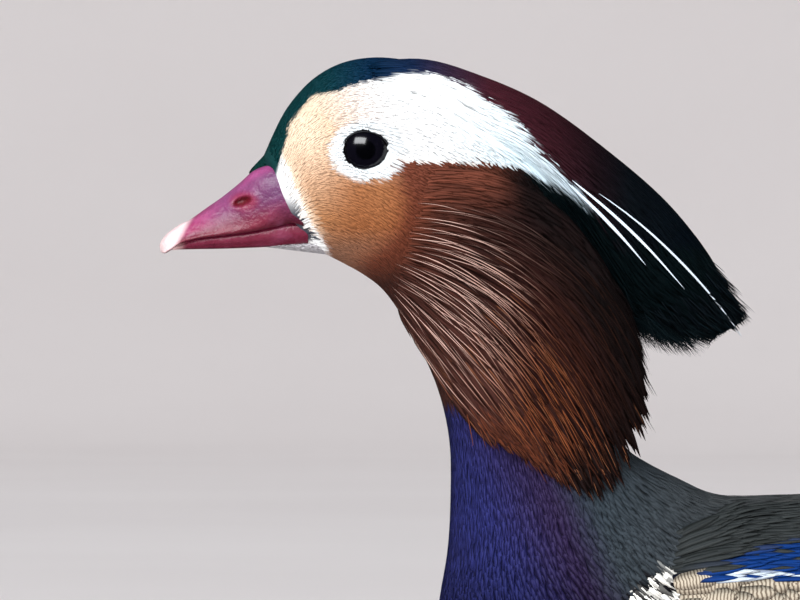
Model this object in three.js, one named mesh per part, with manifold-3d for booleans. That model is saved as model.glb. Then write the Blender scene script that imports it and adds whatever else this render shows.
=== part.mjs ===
// Mandarin duck drake, standing, life size. Millimetres, +Z up, bill towards -X, the bird's left side at -Y.
// The origin is on the floor under the middle of the whole bird.
import * as THREE from "three";
import { mergeVertices } from "three/addons/utils/BufferGeometryUtils.js";
import Module from "manifold-3d";

const wasm = await Module();
wasm.setup();

// Gap that touching pieces keep.
const GAP = 0.35;
// Height over the smooth skin that beds of feathers start at, which clears the skin's flat facets.
const BED = 0.75;

// One slice of the bird from tail root to bill root: where it meets the back line and the front or belly
// line, its half width, and how far below its middle the widest level lies, as a share of its half height.
const slice = (backX, backZ, lowX, lowZ, halfWidth, sag) => [backX, backZ, lowX, lowZ, halfWidth, sag];
const SKIN = [
  slice(122, 130, 124, 113, 12, 0),
  slice(104, 137, 108, 99, 23, 0),
  slice(78, 146, 84, 82, 34, 0),
  slice(46, 153.5, 50, 66, 43.5, 0.02),
  slice(12, 157.5, 14, 57, 49.5, 0.05),
  slice(-20, 158.5, -22, 54, 52.5, 0.06),
  slice(-44, 158, -58, 57, 52, 0.05),
  slice(-54, 157.6, -90, 67, 49.5, 0.03),
  slice(-60, 159, -112, 84, 45, 0),
  slice(-65, 161.4, -123, 106, 39, -0.02),
  slice(-70, 163.8, -125, 127, 33, 0),
  slice(-74.5, 166.2, -122.5, 145, 27.5, 0),
  slice(-79.5, 170, -121.8, 160, 22.5, 0),
  slice(-83.5, 179, -122.2, 172, 19, 0),
  slice(-85, 191, -124.8, 183.5, 17.2, 0),
  slice(-85.5, 203, -129.3, 194, 16.8, 0),
  slice(-86.5, 215, -133.5, 201.5, 17, 0.02),
  slice(-90, 228, -138.3, 208.1, 17.6, 0.06),
  slice(-97, 241, -143, 211.8, 18, 0.1),
  slice(-108, 252, -147.6, 214.4, 18, 0.14),
  slice(-121, 259.8, -150.7, 216, 17.4, 0.16),
  slice(-134, 264.3, -152.8, 217, 16.4, 0.16),
  slice(-145.5, 264.2, -154.3, 217.6, 15, 0.14),
  slice(-154.5, 260.2, -155.5, 218, 13.3, 0.12),
  slice(-161.5, 252.8, -156.5, 218.3, 11.4, 0.1),
  slice(-166, 244.2, -157.3, 218.6, 9.8, 0.06),
  slice(-169, 237.5, -158, 219, 8.7, 0),
];
// Slices where the torso, the neck and the head part.
const NECK_BASE = 11.4;
const NECK_TOP = 16.2;
const BILL_ROOT = SKIN.length - 1;
// Below 1 makes a slice a little fuller than an ellipse.
const FULLNESS = 0.92;

// Smooth value of a table of rows at a place between them.
function track(rows, place) {
  const at = Math.min(Math.max(place, 0), rows.length - 1);
  const i = Math.min(Math.floor(at), rows.length - 2);
  const t = at - i;
  const row = (j) => rows[Math.min(Math.max(j, 0), rows.length - 1)];
  const [a, b, c, d] = [row(i - 1), row(i), row(i + 1), row(i + 2)];
  return b.map(
    (v, k) =>
      v +
      0.5 * t * (c[k] - a[k] + t * (2 * a[k] - 5 * v + 4 * c[k] - d[k] + t * (3 * (v - c[k]) + d[k] - a[k]))),
  );
}

// Middle, half height, upward direction, half width and sag of a slice.
function sliceAt(place, grow = 0) {
  const [backX, backZ, frontX, frontZ, halfWidth, sag] = track(SKIN, place);
  const half = Math.hypot(backX - frontX, backZ - frontZ) / 2;
  return {
    x: (backX + frontX) / 2,
    z: (backZ + frontZ) / 2,
    upX: (backX - frontX) / (2 * half),
    upZ: (backZ - frontZ) / (2 * half),
    half: half + grow,
    width: halfWidth + grow,
    sag,
  };
}

// Point of the skin on a slice, with the angle counted from the back line round to the belly line at pi.
function skinPoint(place, angle, grow = 0) {
  const c = sliceAt(place, grow);
  const along = c.half * (Math.cos(angle) - c.sag * Math.sin(angle) ** 2);
  const side = Math.sign(Math.sin(angle)) * Math.abs(Math.sin(angle)) ** FULLNESS;
  return new THREE.Vector3(c.x + c.upX * along, c.width * side, c.z + c.upZ * along);
}

// Half width of the skin at a point of the side view, found by halving the range of slices, or 0 outside it.
function skinSide(x, z, grow = 0, from = 0, to = BILL_ROOT) {
  let [low, high] = [from, to];
  for (let i = 0; i < 30; i++) {
    const middle = (low + high) / 2;
    const c = sliceAt(middle);
    if (c.upX * (z - c.z) - c.upZ * (x - c.x) > 0) low = middle;
    else high = middle;
  }
  const c = sliceAt((low + high) / 2, grow);
  const level = (c.upX * (x - c.x) + c.upZ * (z - c.z)) / c.half;
  if (Math.abs(level) >= 1) return 0;
  const cosine = c.sag ? (Math.sqrt(1 + 4 * c.sag * (c.sag + level)) - 1) / (2 * c.sag) : level;
  return c.width * (1 - Math.min(cosine * cosine, 1)) ** (FULLNESS / 2);
}

// Closed solid of a geometry, with its faces turned out, less the triangles that merged corners leave flat.
function solidOf(geometry) {
  geometry.deleteAttribute("normal");
  geometry.deleteAttribute("uv");
  const merged = mergeVertices(geometry, 1e-4);
  const index = Array.from(merged.index.array);
  const flat = (i) => index[i] === index[i + 1] || index[i + 1] === index[i + 2] || index[i] === index[i + 2];
  const triVerts = new Uint32Array(index.filter((_, i) => !flat(i - (i % 3))));
  const vertProperties = merged.attributes.position.array;
  const make = () => new wasm.Manifold(new wasm.Mesh({ numProp: 3, vertProperties, triVerts }));
  const made = make();
  if (made.volume() > 0) return made;
  for (let i = 0; i < triVerts.length; i += 3) triVerts.subarray(i, i + 3).reverse();
  return make();
}

// Geometry of points and triangles.
function shell(points, triangles) {
  return new THREE.BufferGeometry().setFromPoints(points).setIndex(triangles);
}

// Solid through rings of points, closed at both ends by a fan round each ring's middle.
function loft(rings) {
  const n = rings[0].length;
  const points = rings.flat();
  const triangles = [];
  for (let k = 0; k + 1 < rings.length; k++)
    for (let j = 0; j < n; j++) {
      const [a, b] = [k * n + j, k * n + ((j + 1) % n)];
      triangles.push(a, b, a + n, b, b + n, a + n);
    }
  for (const [k, flip] of [[0, true], [rings.length - 1, false]]) {
    const middle = rings[k].reduce((sum, p) => sum.add(p), new THREE.Vector3()).divideScalar(n);
    points.push(middle);
    for (let j = 0; j < n; j++) {
      const [a, b] = [k * n + j, k * n + ((j + 1) % n)];
      triangles.push(...(flip ? [b, a, points.length - 1] : [a, b, points.length - 1]));
    }
  }
  return solidOf(shell(points, triangles));
}

// Solid between an outer and an inner surface over one grid, split into triangles alike on both faces.
function slab(along, across, outer, inner) {
  const points = [];
  const triangles = [];
  for (const face of [outer, inner])
    for (let i = 0; i <= along; i++)
      for (let j = 0; j <= across; j++) points.push(face(i / along, j / across));
  const id = (face, i, j) => (face * (along + 1) + i) * (across + 1) + j;
  const quad = (a, b, c, d) => triangles.push(a, b, c, a, c, d);
  for (let i = 0; i < along; i++)
    for (let j = 0; j < across; j++) {
      quad(id(0, i, j), id(0, i + 1, j), id(0, i + 1, j + 1), id(0, i, j + 1));
      const [a, b, c, d] = [id(1, i, j), id(1, i + 1, j), id(1, i + 1, j + 1), id(1, i, j + 1)];
      triangles.push(a, c, b, a, d, c);
    }
  for (let i = 0; i < along; i++) {
    quad(id(0, i + 1, 0), id(0, i, 0), id(1, i, 0), id(1, i + 1, 0));
    quad(id(0, i, across), id(0, i + 1, across), id(1, i + 1, across), id(1, i, across));
  }
  for (let j = 0; j < across; j++) {
    quad(id(0, 0, j), id(0, 0, j + 1), id(1, 0, j + 1), id(1, 0, j));
    quad(id(0, along, j + 1), id(0, along, j), id(1, along, j), id(1, along, j + 1));
  }
  return solidOf(shell(points, triangles));
}

// Ball stretched to three half sizes about a centre.
function ball(centre, halves, around = 24, up = 16) {
  const geometry = new THREE.SphereGeometry(1, around, up);
  geometry.scale(...halves).translate(...centre);
  return solidOf(geometry);
}

// Upright box of three sizes about a centre.
const block = (length, width, height, ...centre) =>
  solidOf(new THREE.BoxGeometry(length, width, height).translate(...centre));

// The largest closed surface of a solid, as one named mesh.
function node(name, solid, material) {
  const kept = solid.decompose().reduce((best, part) => (part.volume() > best.volume() ? part : best));
  const mesh = kept.getMesh();
  const geometry = new THREE.BufferGeometry()
    .setAttribute("position", new THREE.BufferAttribute(new Float32Array(mesh.vertProperties), 3))
    .setIndex(new THREE.BufferAttribute(new Uint32Array(mesh.triVerts), 1));
  geometry.computeVertexNormals();
  const made = new THREE.Mesh(geometry, material);
  made.name = name;
  return made;
}

const union = (pieces) => wasm.Manifold.union(pieces);
const material = (color, roughness) => new THREE.MeshStandardMaterial({ color, roughness, metalness: 0 });

const COLOURS = {
  breast: material(0x3a2f5c, 0.5),
  rust: material(0x6e3320, 0.6),
  crest: material(0x14302f, 0.45),
  face: material(0xd8b08a, 0.7),
  bill: material(0xb5486e, 0.35),
  eye: material(0x120c0a, 0.05),
  wing: material(0x4a4a44, 0.6),
  blue: material(0x1c3f86, 0.4),
  flank: material(0xc4a468, 0.7),
  tail: material(0x3b3a30, 0.6),
  leg: material(0xc9862f, 0.5),
};

// Rings of the skin from one slice to another, with the end rings drawn back by half the gap.
function skinRings(from, to, count, around, grow = 0) {
  const rings = [];
  for (let k = 0; k <= count; k++) {
    const place = from + ((to - from) * k) / count;
    const c = sliceAt(place);
    const back = k === 0 ? GAP / 2 : k === count ? -GAP / 2 : 0;
    const ring = [];
    for (let j = 0; j < around; j++) {
      const p = skinPoint(place, (2 * Math.PI * j) / around, grow);
      ring.push(p.add(new THREE.Vector3(-c.upZ * back, 0, c.upX * back)));
    }
    rings.push(ring);
  }
  return rings;
}

// Torso, neck and head, and the same bird grown by the gap, which clears what lies on it.
const TORSO_STEPS = 17;
const NECK_STEPS = 6;
const HEAD_STEPS = 14;
const TORSO_SIDES = 24;
const HEAD_SIDES = 24;
const cutter = (from, to, steps, sides) => loft(skinRings(from, to, steps, sides, GAP));
const torsoClear = cutter(0, NECK_BASE + 0.3, TORSO_STEPS, TORSO_SIDES);
const headClear = cutter(NECK_BASE - 0.6, BILL_ROOT, NECK_STEPS + HEAD_STEPS, HEAD_SIDES);
const clearOfBody = (solid) => solid.subtract(torsoClear).subtract(headClear);
// A plainer head and neck, grown enough to hold the gap all over, which shapes the inside of the crest.
const crestClear = loft(skinRings(NECK_BASE, BILL_ROOT, 20, 18, GAP + 0.4));

const EYE = { x: -142.5, y: 11.45, z: 241.9, halfLength: 6.8, halfDepth: 5.2 };
const LIDS = { y: 14.7, halfLength: 6.3, halfHeight: 5.4, thickness: 0.9 };

function eyeball(side, grow = 0) {
  const halves = [EYE.halfLength + grow, EYE.halfDepth + grow, EYE.halfLength + grow];
  return ball([EYE.x, side * EYE.y, EYE.z], halves, 14, 7);
}

// A raised rim round the opening of the eye.
function lids(side) {
  const geometry = new THREE.TorusGeometry(1, LIDS.thickness / LIDS.halfHeight, 5, 14);
  geometry.rotateX(Math.PI / 2);
  geometry.scale(LIDS.halfLength, LIDS.halfHeight, LIDS.halfHeight);
  geometry.translate(EYE.x, side * LIDS.y, EYE.z);
  return solidOf(geometry);
}

function head() {
  const skull = loft(skinRings(NECK_TOP, BILL_ROOT, HEAD_STEPS, HEAD_SIDES));
  const withLids = union([skull, lids(-1), lids(1)]);
  return withLids.subtract(eyeball(-1, GAP)).subtract(eyeball(1, GAP));
}

// Slices of the bill: top line, tomium line and half width, from root to tip.
const UPPER_BILL = [
  [-169.6, 236.9, -158.2, 222.9, 8.5],
  [-173.5, 233.1, -165, 221.9, 8.3],
  [-177.5, 230.5, -171, 220.9, 7.9],
  [-181.5, 227.8, -177, 220.3, 7.5],
  [-185.3, 225.3, -183, 220, 7.1],
  [-188.4, 223.3, -187.3, 219.5, 6.2],
  [-191.2, 221.4, -190.6, 218.6, 4.5],
  [-193, 219.4, -192.4, 217.9, 1.6],
];
const LOWER_BILL = [
  [-158.6, 222.2, -158.9, 219, 7.6],
  [-165, 221.3, -165.5, 218.7, 7.2],
  [-171, 220.3, -172, 218.5, 6.8],
  [-177, 219.7, -178, 218.3, 6.5],
  [-183, 219.4, -184, 218.1, 6],
  [-187.6, 218.9, -187.9, 217.9, 4.8],
  [-189.6, 218.5, -189.7, 217.8, 2.6],
];
const NAIL = { centre: [-189.6, 0, 219.9], halves: [3.4, 3.9, 3.2] };
const NOSTRIL = { x: -173.7, z: 229.5, halfLength: 2, halfHeight: 0.9, depth: 1.6 };

// Half round bar through slices, domed upwards, or downwards for the lower half of the bill.
function billHalf(rows, dome, steps) {
  const rings = [];
  const count = 9;
  for (let k = 0; k <= steps; k++) {
    const place = ((rows.length - 1) * k) / steps;
    const [topX, topZ, lowX, lowZ, halfWidth] = track(rows, place);
    const at = (share, y) => new THREE.Vector3(lowX + (topX - lowX) * share, y, lowZ + (topZ - lowZ) * share);
    const ring = [];
    for (let j = 0; j < count; j++) {
      const angle = -Math.PI / 2 + (Math.PI * j) / (count - 1);
      const rise = dome > 0 ? Math.cos(angle) ** 0.8 : 1 - Math.cos(angle) ** 0.7;
      const share = dome > 0 ? Math.max(rise, 0) : rise;
      ring.push(at(share, halfWidth * Math.sin(angle)));
    }
    const flat = dome > 0 ? 0.08 : 0.92;
    ring.push(at(flat, 0.5 * halfWidth), at(flat, -0.5 * halfWidth));
    rings.push(ring);
  }
  return loft(rings);
}

function upperBill() {
  const horn = union([billHalf(UPPER_BILL, 1, 8), ball(NAIL.centre, NAIL.halves, 10, 6)]).subtract(headClear);
  const holes = [-1, 1].map((side) => {
    const y = side * (nostrilSide() + 0.4);
    return ball([NOSTRIL.x, y, NOSTRIL.z], [NOSTRIL.halfLength, NOSTRIL.depth, NOSTRIL.halfHeight], 8, 4);
  });
  return horn.subtract(union(holes));
}

// Half width of the upper bill where the nostril opens.
function nostrilSide() {
  const [, topZ, , lowZ, halfWidth] = track(UPPER_BILL, 1.9);
  const share = (NOSTRIL.z - lowZ) / (topZ - lowZ);
  return halfWidth * Math.sqrt(1 - Math.min(share, 0.95) ** 2.5);
}

function lowerBill() {
  const nailClear = ball(NAIL.centre, NAIL.halves.map((half) => half + GAP), 10, 6);
  return billHalf(LOWER_BILL, -1, 6).subtract(headClear).subtract(nailClear);
}

// Outlines of a feather as places from root to tip, each with its share of the half width.
const BROAD = [[0, 0.5], [0.14, 0.7], [0.45, 0.95], [0.8, 1], [1, 0.3]];
const LONG = [[0, 0.6], [0.16, 0.85], [0.82, 0.9], [1, 0.15]];
const LOCK = [[0, 0.75], [0.22, 0.98], [0.68, 0.78], [1, 0.05]];

// Surface with a third argument that lifts a point off it, along its normal turned to the given side.
function lifted(base, outward) {
  const step = 1e-3;
  return (u, v, lift) => {
    const p = base(u, v);
    const alongU = base(u + step, v).sub(base(u - step, v));
    const alongV = base(u, v + step).sub(base(u, v - step));
    const normal = alongU.cross(alongV).normalize();
    if (normal.dot(outward(p, u)) < 0) normal.negate();
    return p.addScaledVector(normal, lift);
  };
}

// Thin blade that follows a lifted surface from one place to another, with its half width in the surface's
// second measure. Its root is sunk, it then rises evenly from its second lift to its third, and it thins
// out to its edges, which hang by the camber.
function blade(surface, { from, to, half, lift, camber = 0.3, thickness = 1.1, outline = BROAD }) {
  const steps = outline.length - 1;
  const face = (sign) => (a, b) => {
    const [along, wide] = outline[Math.round(a * steps)];
    const [u, v] = [0, 1].map((i) => from[i] + (to[i] - from[i]) * along);
    const across = 2 * b - 1;
    const middle = along === 0 ? lift[0] : lift[1] + (lift[2] - lift[1]) * along;
    const rise = middle - camber * across ** 2 * wide;
    const thick = across ? 0 : (thickness / 2) * (along === 1 ? 0.4 : 1);
    return surface(u, v + across * half * wide, rise + sign * thick);
  };
  return slab(steps, 2, face(1), face(-1));
}

// Half width of a feather as a share of the distance to the next one in its tier.
const SPREAD = 0.48;

// Small repeatable variation between -1 and 1 for a piece's number.
const vary = (seed) => {
  const wave = Math.sin(seed * 127.1 + 311.7) * 43758.5453;
  return 2 * (wave - Math.floor(wave)) - 1;
};

// Slices of the crest: upper line, lower line and half width, from crown to tips.
const CREST = [
  [-146, 263.6, -142, 256, 8],
  [-129, 264.4, -126, 251, 13.4],
  [-114.7, 260.4, -114, 243, 16.2],
  [-100, 253.8, -104, 236.5, 15.8],
  [-85.4, 243.4, -94, 226.5, 13.8],
  [-70.8, 231, -86.5, 213.5, 11],
  [-60.8, 219.2, -79.5, 202.5, 8.2],
  [-54.4, 207.6, -69, 197.4, 5.6],
  [-51, 198.4, -57, 196, 2.8],
];
const CREST_SPAN = CREST.length - 1;

// Point of the crest's outside, from crown at 0 to tips at 1, and round it from the upper line at 0 to the
// lower line at 0.5 on the bird's left, or at -0.5 on its right.
function crestPoint(along, round) {
  const [topX, topZ, lowX, lowZ, halfWidth] = track(CREST, along * CREST_SPAN);
  const share = (1 + Math.cos(2 * Math.PI * round)) / 2;
  const y = -halfWidth * Math.sin(2 * Math.PI * round);
  return new THREE.Vector3(lowX + (topX - lowX) * share, y, lowZ + (topZ - lowZ) * share);
}

// Tiers of crest feathers: where they root and end between the head and the tips, how many lie round the
// crest, how far round they reach, and how far their tips lie over the crest's outside.
const CREST_TIERS = [
  { root: 0, tip: 0.52, locks: 5, reach: 0.2, tipLift: 1 },
  { root: 0.28, tip: 0.8, locks: 7, reach: 0.33, tipLift: 1 },
  { root: 0.52, tip: 1, locks: 9, reach: 0.44, tipLift: 0.4 },
];
const CREST_CORE = { depth: 2.4, end: 0.74, steps: 6, sides: 12, clear: 2.2 };

// How far along the crest it stands clear of the head, at an angle round it.
function crestStart(round) {
  for (let along = 0.04; along < 0.6; along += 0.01) {
    const p = crestPoint(along, round);
    if (Math.abs(p.y) >= skinSide(p.x, p.z, CREST_CORE.clear, 0, BILL_ROOT)) return along;
  }
  return 0.6;
}

// Depth of the core under the crest's outside.
const crestDepth = (along) => CREST_CORE.depth * Math.min(1, 0.3 + 1.6 * Math.max(along - 0.2, 0));

function crest() {
  const middle = (along) => crestPoint(along, 0).add(crestPoint(along, 0.5)).multiplyScalar(0.5);
  const surface = lifted(crestPoint, (p, along) => p.clone().sub(middle(along)));
  const inner = (along, round) => {
    const p = crestPoint(along, round);
    const inwards = middle(along).sub(p);
    return p.add(inwards.setLength(Math.min(crestDepth(along), inwards.length() * 0.6)));
  };
  const { end: coreEnd, steps, sides } = CREST_CORE;
  const ring = (along) => Array.from({ length: sides }, (_, j) => inner(along, j / sides));
  const rings = Array.from({ length: steps + 1 }, (_, k) => ring((coreEnd * k) / steps));
  const pieces = [loft(rings)];
  CREST_TIERS.forEach(({ root, tip, locks, reach, tipLift }, tier) => {
    const half = (SPREAD * 2 * reach) / (locks - 1);
    for (let k = 0; k < locks; k++) {
      const round = reach * ((2 * k) / (locks - 1) - 1);
      const start = crestStart(round);
      const place = (share) => start + (1 - start) * share;
      const end = place(tip) * (1 - 0.1 * round ** 2) + 0.01 * vary(k + 17 * tier);
      const from = Math.min(place(root), coreEnd - 0.07);
      const depth = crestDepth(from);
      const lift = [-depth - 0.8, 0.7 - depth, tipLift];
      pieces.push(blade(surface, { from: [from, round], to: [end, round], half, lift, outline: LOCK }));
    }
  });
  return union(pieces).subtract(crestClear);
}

// Lie of the long cheek feathers: where each starts on the cheek, the point that it bends towards, its tip,
// and how far out the tip stands, from the upper edge of the ruff down to the throat.
const RUFF = [
  [-133, 236.8, -92, 242, -77.1, 195.8, 12],
  [-136.1, 228.8, -95.2, 230, -75.6, 184.8, 15],
  [-139.1, 220.2, -102.5, 212.9, -78.6, 169.4, 20],
  [-139.6, 214.9, -112.2, 200.7, -86.1, 158.7, 25],
  [-138.6, 210.5, -120.8, 193.4, -98.8, 164, 25],
  [-136.6, 206.1, -126.9, 190.9, -109.8, 171.4, 20.5],
  [-134.7, 202.7, -128.1, 189.7, -119.6, 174.8, 12],
];
const RUFF_TIERS = [
  { root: 0, tip: 0.46, count: 5, rise: 3.5 },
  { root: 0.28, tip: 0.75, count: 6, rise: 3.5 },
  { root: 0.56, tip: 1, count: 6, rise: 2.6 },
];
const RUFF_CORE = { end: 0.6, high: 0.8 };

// Point of the ruff, along from cheek at 0 to tip at 1, and across from upper edge at 0 to throat at 1.
function ruffPoint(along, across, side) {
  const [rootX, rootZ, bendX, bendZ, tipX, tipZ, tipOut] = track(RUFF, across * (RUFF.length - 1));
  const bezier = (a, b, c) => a * (1 - along) ** 2 + 2 * b * along * (1 - along) + c * along ** 2;
  const x = bezier(rootX, bendX, tipX);
  const z = bezier(rootZ, bendZ, tipZ);
  const rootOut = skinSide(rootX, rootZ, 0, NECK_BASE, BILL_ROOT);
  const skin = skinSide(x, z, 0, NECK_BASE - 3, BILL_ROOT);
  return new THREE.Vector3(x, side * Math.max(skin + BED, bezier(rootOut, rootOut, tipOut - 2)), z);
}

const ruffSurface = (side) => lifted((u, v) => ruffPoint(u, v, side), () => new THREE.Vector3(0, side, 0));

// Everything on the far side of the bird's middle plane.
const farSide = (side) => block(600, 100, 600, 0, -side * (50 - GAP / 2), 150);

function ruff(side) {
  const surface = ruffSurface(side);
  const under = (high) => (a, b) => surface(0.01 + RUFF_CORE.end * a, 0.05 + 0.9 * b, high);
  const pieces = [slab(4, 4, under(RUFF_CORE.high), under(0))];
  RUFF_TIERS.forEach(({ root, tip, count, rise }, tier) => {
    const half = (SPREAD * 0.86) / (count - 1);
    for (let k = 0; k < count; k++) {
      const across = 0.07 + (0.86 * k) / (count - 1);
      const end = tip * (1 - 0.03 * Math.abs(vary(k + 31 * tier)));
      const lift = [RUFF_CORE.high / 2, RUFF_CORE.high + 0.7, rise];
      pieces.push(blade(surface, { from: [root, across], to: [end, across], half, lift, outline: LOCK }));
    }
  });
  return clearOfBody(union(pieces)).subtract(farSide(side));
}

// Areas of the side view that the shoulder, wing and flank feathers cover, as points of their upper and lower
// edges from front to rear.
const SCAPULARS = [
  [-69, 150.5, -69, 139.4],
  [-54, 154.2, -54, 139.8],
  [-40, 155.4, -40, 140.1],
  [-14, 156.2, -14, 139.9],
  [8, 155.6, 8, 143.6],
  [24, 153.4, 24, 150.6],
];
const WING = [
  [-14, 139.1, -14, 137.8],
  [8, 142.6, 8, 131.5],
  [24, 149.6, 24, 125.2],
  [50, 150.4, 50, 119.2],
  [78, 147.6, 78, 119],
  [108, 142.2, 108, 126.6],
  [138, 138.4, 138, 134.6],
];
const FLANK = [
  [-66, 137.4, -72, 96],
  [-40, 138.6, -52, 77],
  [-14, 136.9, -20, 69],
  [8, 130.6, 8, 68],
  [24, 124.3, 34, 74],
  [50, 118.3, 58, 86],
  [74, 111, 76, 103],
];

// Point over an area of the side view, from front to rear and from its upper to its lower edge. Past the rump
// it keeps at least the given distance from the middle plane.
function sidePoint(rows, rearSide, along, across, side) {
  const [topX, topZ, lowX, lowZ] = track(rows, along * (rows.length - 1));
  const [x, z] = [topX + (lowX - topX) * across, topZ + (lowZ - topZ) * across];
  const skin = skinSide(x, z, 0, 0, NECK_BASE) + BED;
  return new THREE.Vector3(x, side * Math.max(skin, rearSide * (1 - 0.5 * along)), z);
}

// A patch of body feathers or a folded wing: its area, the least distance of its rear from the middle plane,
// the core's reach along it and height, and tiers from the lowest to the uppermost. A tier's feathers root
// and end at places along the area, spread over the given part of its height. They may slope by a drift, and
// each end short of the one below it by a shift.
const PATCHES = {
  scapulars: {
    rows: SCAPULARS,
    rearSide: 0,
    core: { end: 0.66, high: 0.8, steps: 4 },
    tiers: [
      { root: 0.62, tip: 0.97, count: 2, high: 0.3, low: 0.6, rise: 2, drift: 0.02, outline: LONG },
      { root: 0.34, tip: 0.8, count: 3, high: 0.22, low: 0.76, rise: 3, outline: LONG },
      { root: 0.04, tip: 0.5, count: 3, high: 0.22, low: 0.78, rise: 3.4, outline: BROAD },
    ],
  },
  wing: {
    rows: WING,
    rearSide: 23,
    core: { end: 0.52, high: 1, steps: 4 },
    tiers: [
      {
        root: 0.52,
        tip: 0.99,
        count: 4,
        high: 0.48,
        low: 0.86,
        rise: 1.6,
        outline: LONG,
        drift: -0.1,
        shift: 0.05,
      },
      { root: 0.38, tip: 0.72, count: 4, high: 0.14, low: 0.84, rise: 3, outline: LONG },
      { root: 0.2, tip: 0.5, count: 4, high: 0.14, low: 0.84, rise: 3.6, outline: LONG },
    ],
  },
  flank: {
    rows: FLANK,
    rearSide: 0,
    core: { end: 0.62, high: 1.3, steps: 4 },
    tiers: [
      { root: 0.6, tip: 0.97, count: 3, high: 0.2, low: 0.8, rise: 3.2, outline: BROAD },
      { root: 0.31, tip: 0.74, count: 4, high: 0.14, low: 0.86, rise: 4.2, outline: BROAD },
      { root: 0.02, tip: 0.46, count: 4, high: 0.14, low: 0.86, rise: 4.4, outline: BROAD },
    ],
  },
};

// All of one side of the bird that lies over an area of its side view.
function over(rows, side) {
  const at = (out) => (a, b) => {
    const [topX, topZ, lowX, lowZ] = track(rows, a * (rows.length - 1));
    return new THREE.Vector3(topX + (lowX - topX) * b, side * out, topZ + (lowZ - topZ) * b);
  };
  return slab(rows.length - 1, 1, at(90), at(GAP));
}

function patch({ rows, rearSide, core, tiers }, side) {
  const base = (u, v) => sidePoint(rows, rearSide, u, v, side);
  const surface = lifted(base, () => new THREE.Vector3(0, side, 0));
  const pad = (high) => (a, b) => surface(0.02 + core.end * a, 0.08 + 0.84 * b, high);
  const pieces = [slab(core.steps, 3, pad(core.high), pad(0))];
  tiers.forEach(({ root, tip, count, high, low, rise, outline, drift = 0, shift = 0 }, tier) => {
    const half = (SPREAD * (low - high)) / (count - 1);
    for (let k = 0; k < count; k++) {
      const across = high + ((low - high) * k) / (count - 1);
      const end = tip - shift * (count - 1 - k) + 0.008 * vary(k + 13 * tier);
      const lift = [core.high / 2, core.high + 0.7, rise];
      pieces.push(blade(surface, { from: [root, across], to: [end, across + drift], half, lift, outline }));
    }
  });
  return union(pieces);
}

const scapulars = (side) => clearOfBody(patch(PATCHES.scapulars, side).intersect(over(SCAPULARS, side)));
const flank = (side) => {
  const feathers = clearOfBody(patch(PATCHES.flank, side).intersect(over(FLANK, side)));
  return feathers.subtract(thigh(side, STRIDE[side], GAP));
};

// Upright sail feather: its foot, and points of its front and rear edges from the foot up.
const SAIL = [
  [28, 143, 72, 141],
  [30, 164, 84, 160],
  [38, 182, 86, 178],
  [49, 195, 79, 191],
  [60, 203, 67, 202],
];
const SAIL_OUT = 23;
const SAIL_THICKNESS = 0.9;
const SAIL_SHAFT = { places: [0, 0.3, 0.6, 0.9], radius: 1.3 };

// Broad upright vane with a round shaft that runs up from its foot to its point.
function sail(side) {
  const at = (a, b, offset) => {
    const [frontX, frontZ, rearX, rearZ] = track(SAIL, a * (SAIL.length - 1));
    const curl = 3.5 * Math.sin(Math.PI * b) * a - 5 * a * a + (a < 0.1 ? 4 : 0);
    const [x, z] = [frontX + (rearX - frontX) * b, frontZ + (rearZ - frontZ) * b];
    return new THREE.Vector3(x, side * (SAIL_OUT + curl + offset), z);
  };
  const vane = slab(6, 4, (a, b) => at(a, b, SAIL_THICKNESS), (a, b) => at(a, b, 0));
  const shaft = SAIL_SHAFT.places.map((a) => {
    const p = at(a, 0.62 + 0.1 * a, SAIL_THICKNESS / 2);
    return [p.x, side * p.y, p.z, SAIL_SHAFT.radius * (1 - 0.6 * a)];
  });
  return union([vane, limb(shaft, side, 6, 1)]);
}

function wing(side) {
  const folded = patch(PATCHES.wing, side).intersect(over(WING, side));
  return clearOfBody(union([folded, sail(side)]));
}

// Tail: heights and half widths of its fleshy root, then its feathers.
const TAIL_ROOT = [
  [123.6, 130.4, 112.4, 12.3],
  [132, 130.4, 115, 13.2],
  [143, 130.4, 119.5, 13.6],
  [155, 130.4, 124.6, 13],
];
const TAIL_FAN = { rootX: 127, rootZ: 127.6, length: 66, wide: 19, droop: 3, rise: 3, pairs: 5, vane: 0.26 };
const TAIL_COVERTS = [
  { above: true, length: 34, count: 3, rootZ: 130 },
  { above: false, length: 42, count: 3, rootZ: 118 },
];
const COVERT_X = 125;

// Point over the tail's fan, along from root to tip and across from one side at -1 to the other at 1.
const tailPoint = (along, across) =>
  new THREE.Vector3(
    TAIL_FAN.rootX + TAIL_FAN.length * along * (1 - 0.13 * across ** 2),
    across * (9 + (TAIL_FAN.wide - 9) * along),
    TAIL_FAN.rootZ + TAIL_FAN.rise * along - TAIL_FAN.droop * across ** 2 * (0.4 + along),
  );

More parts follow.
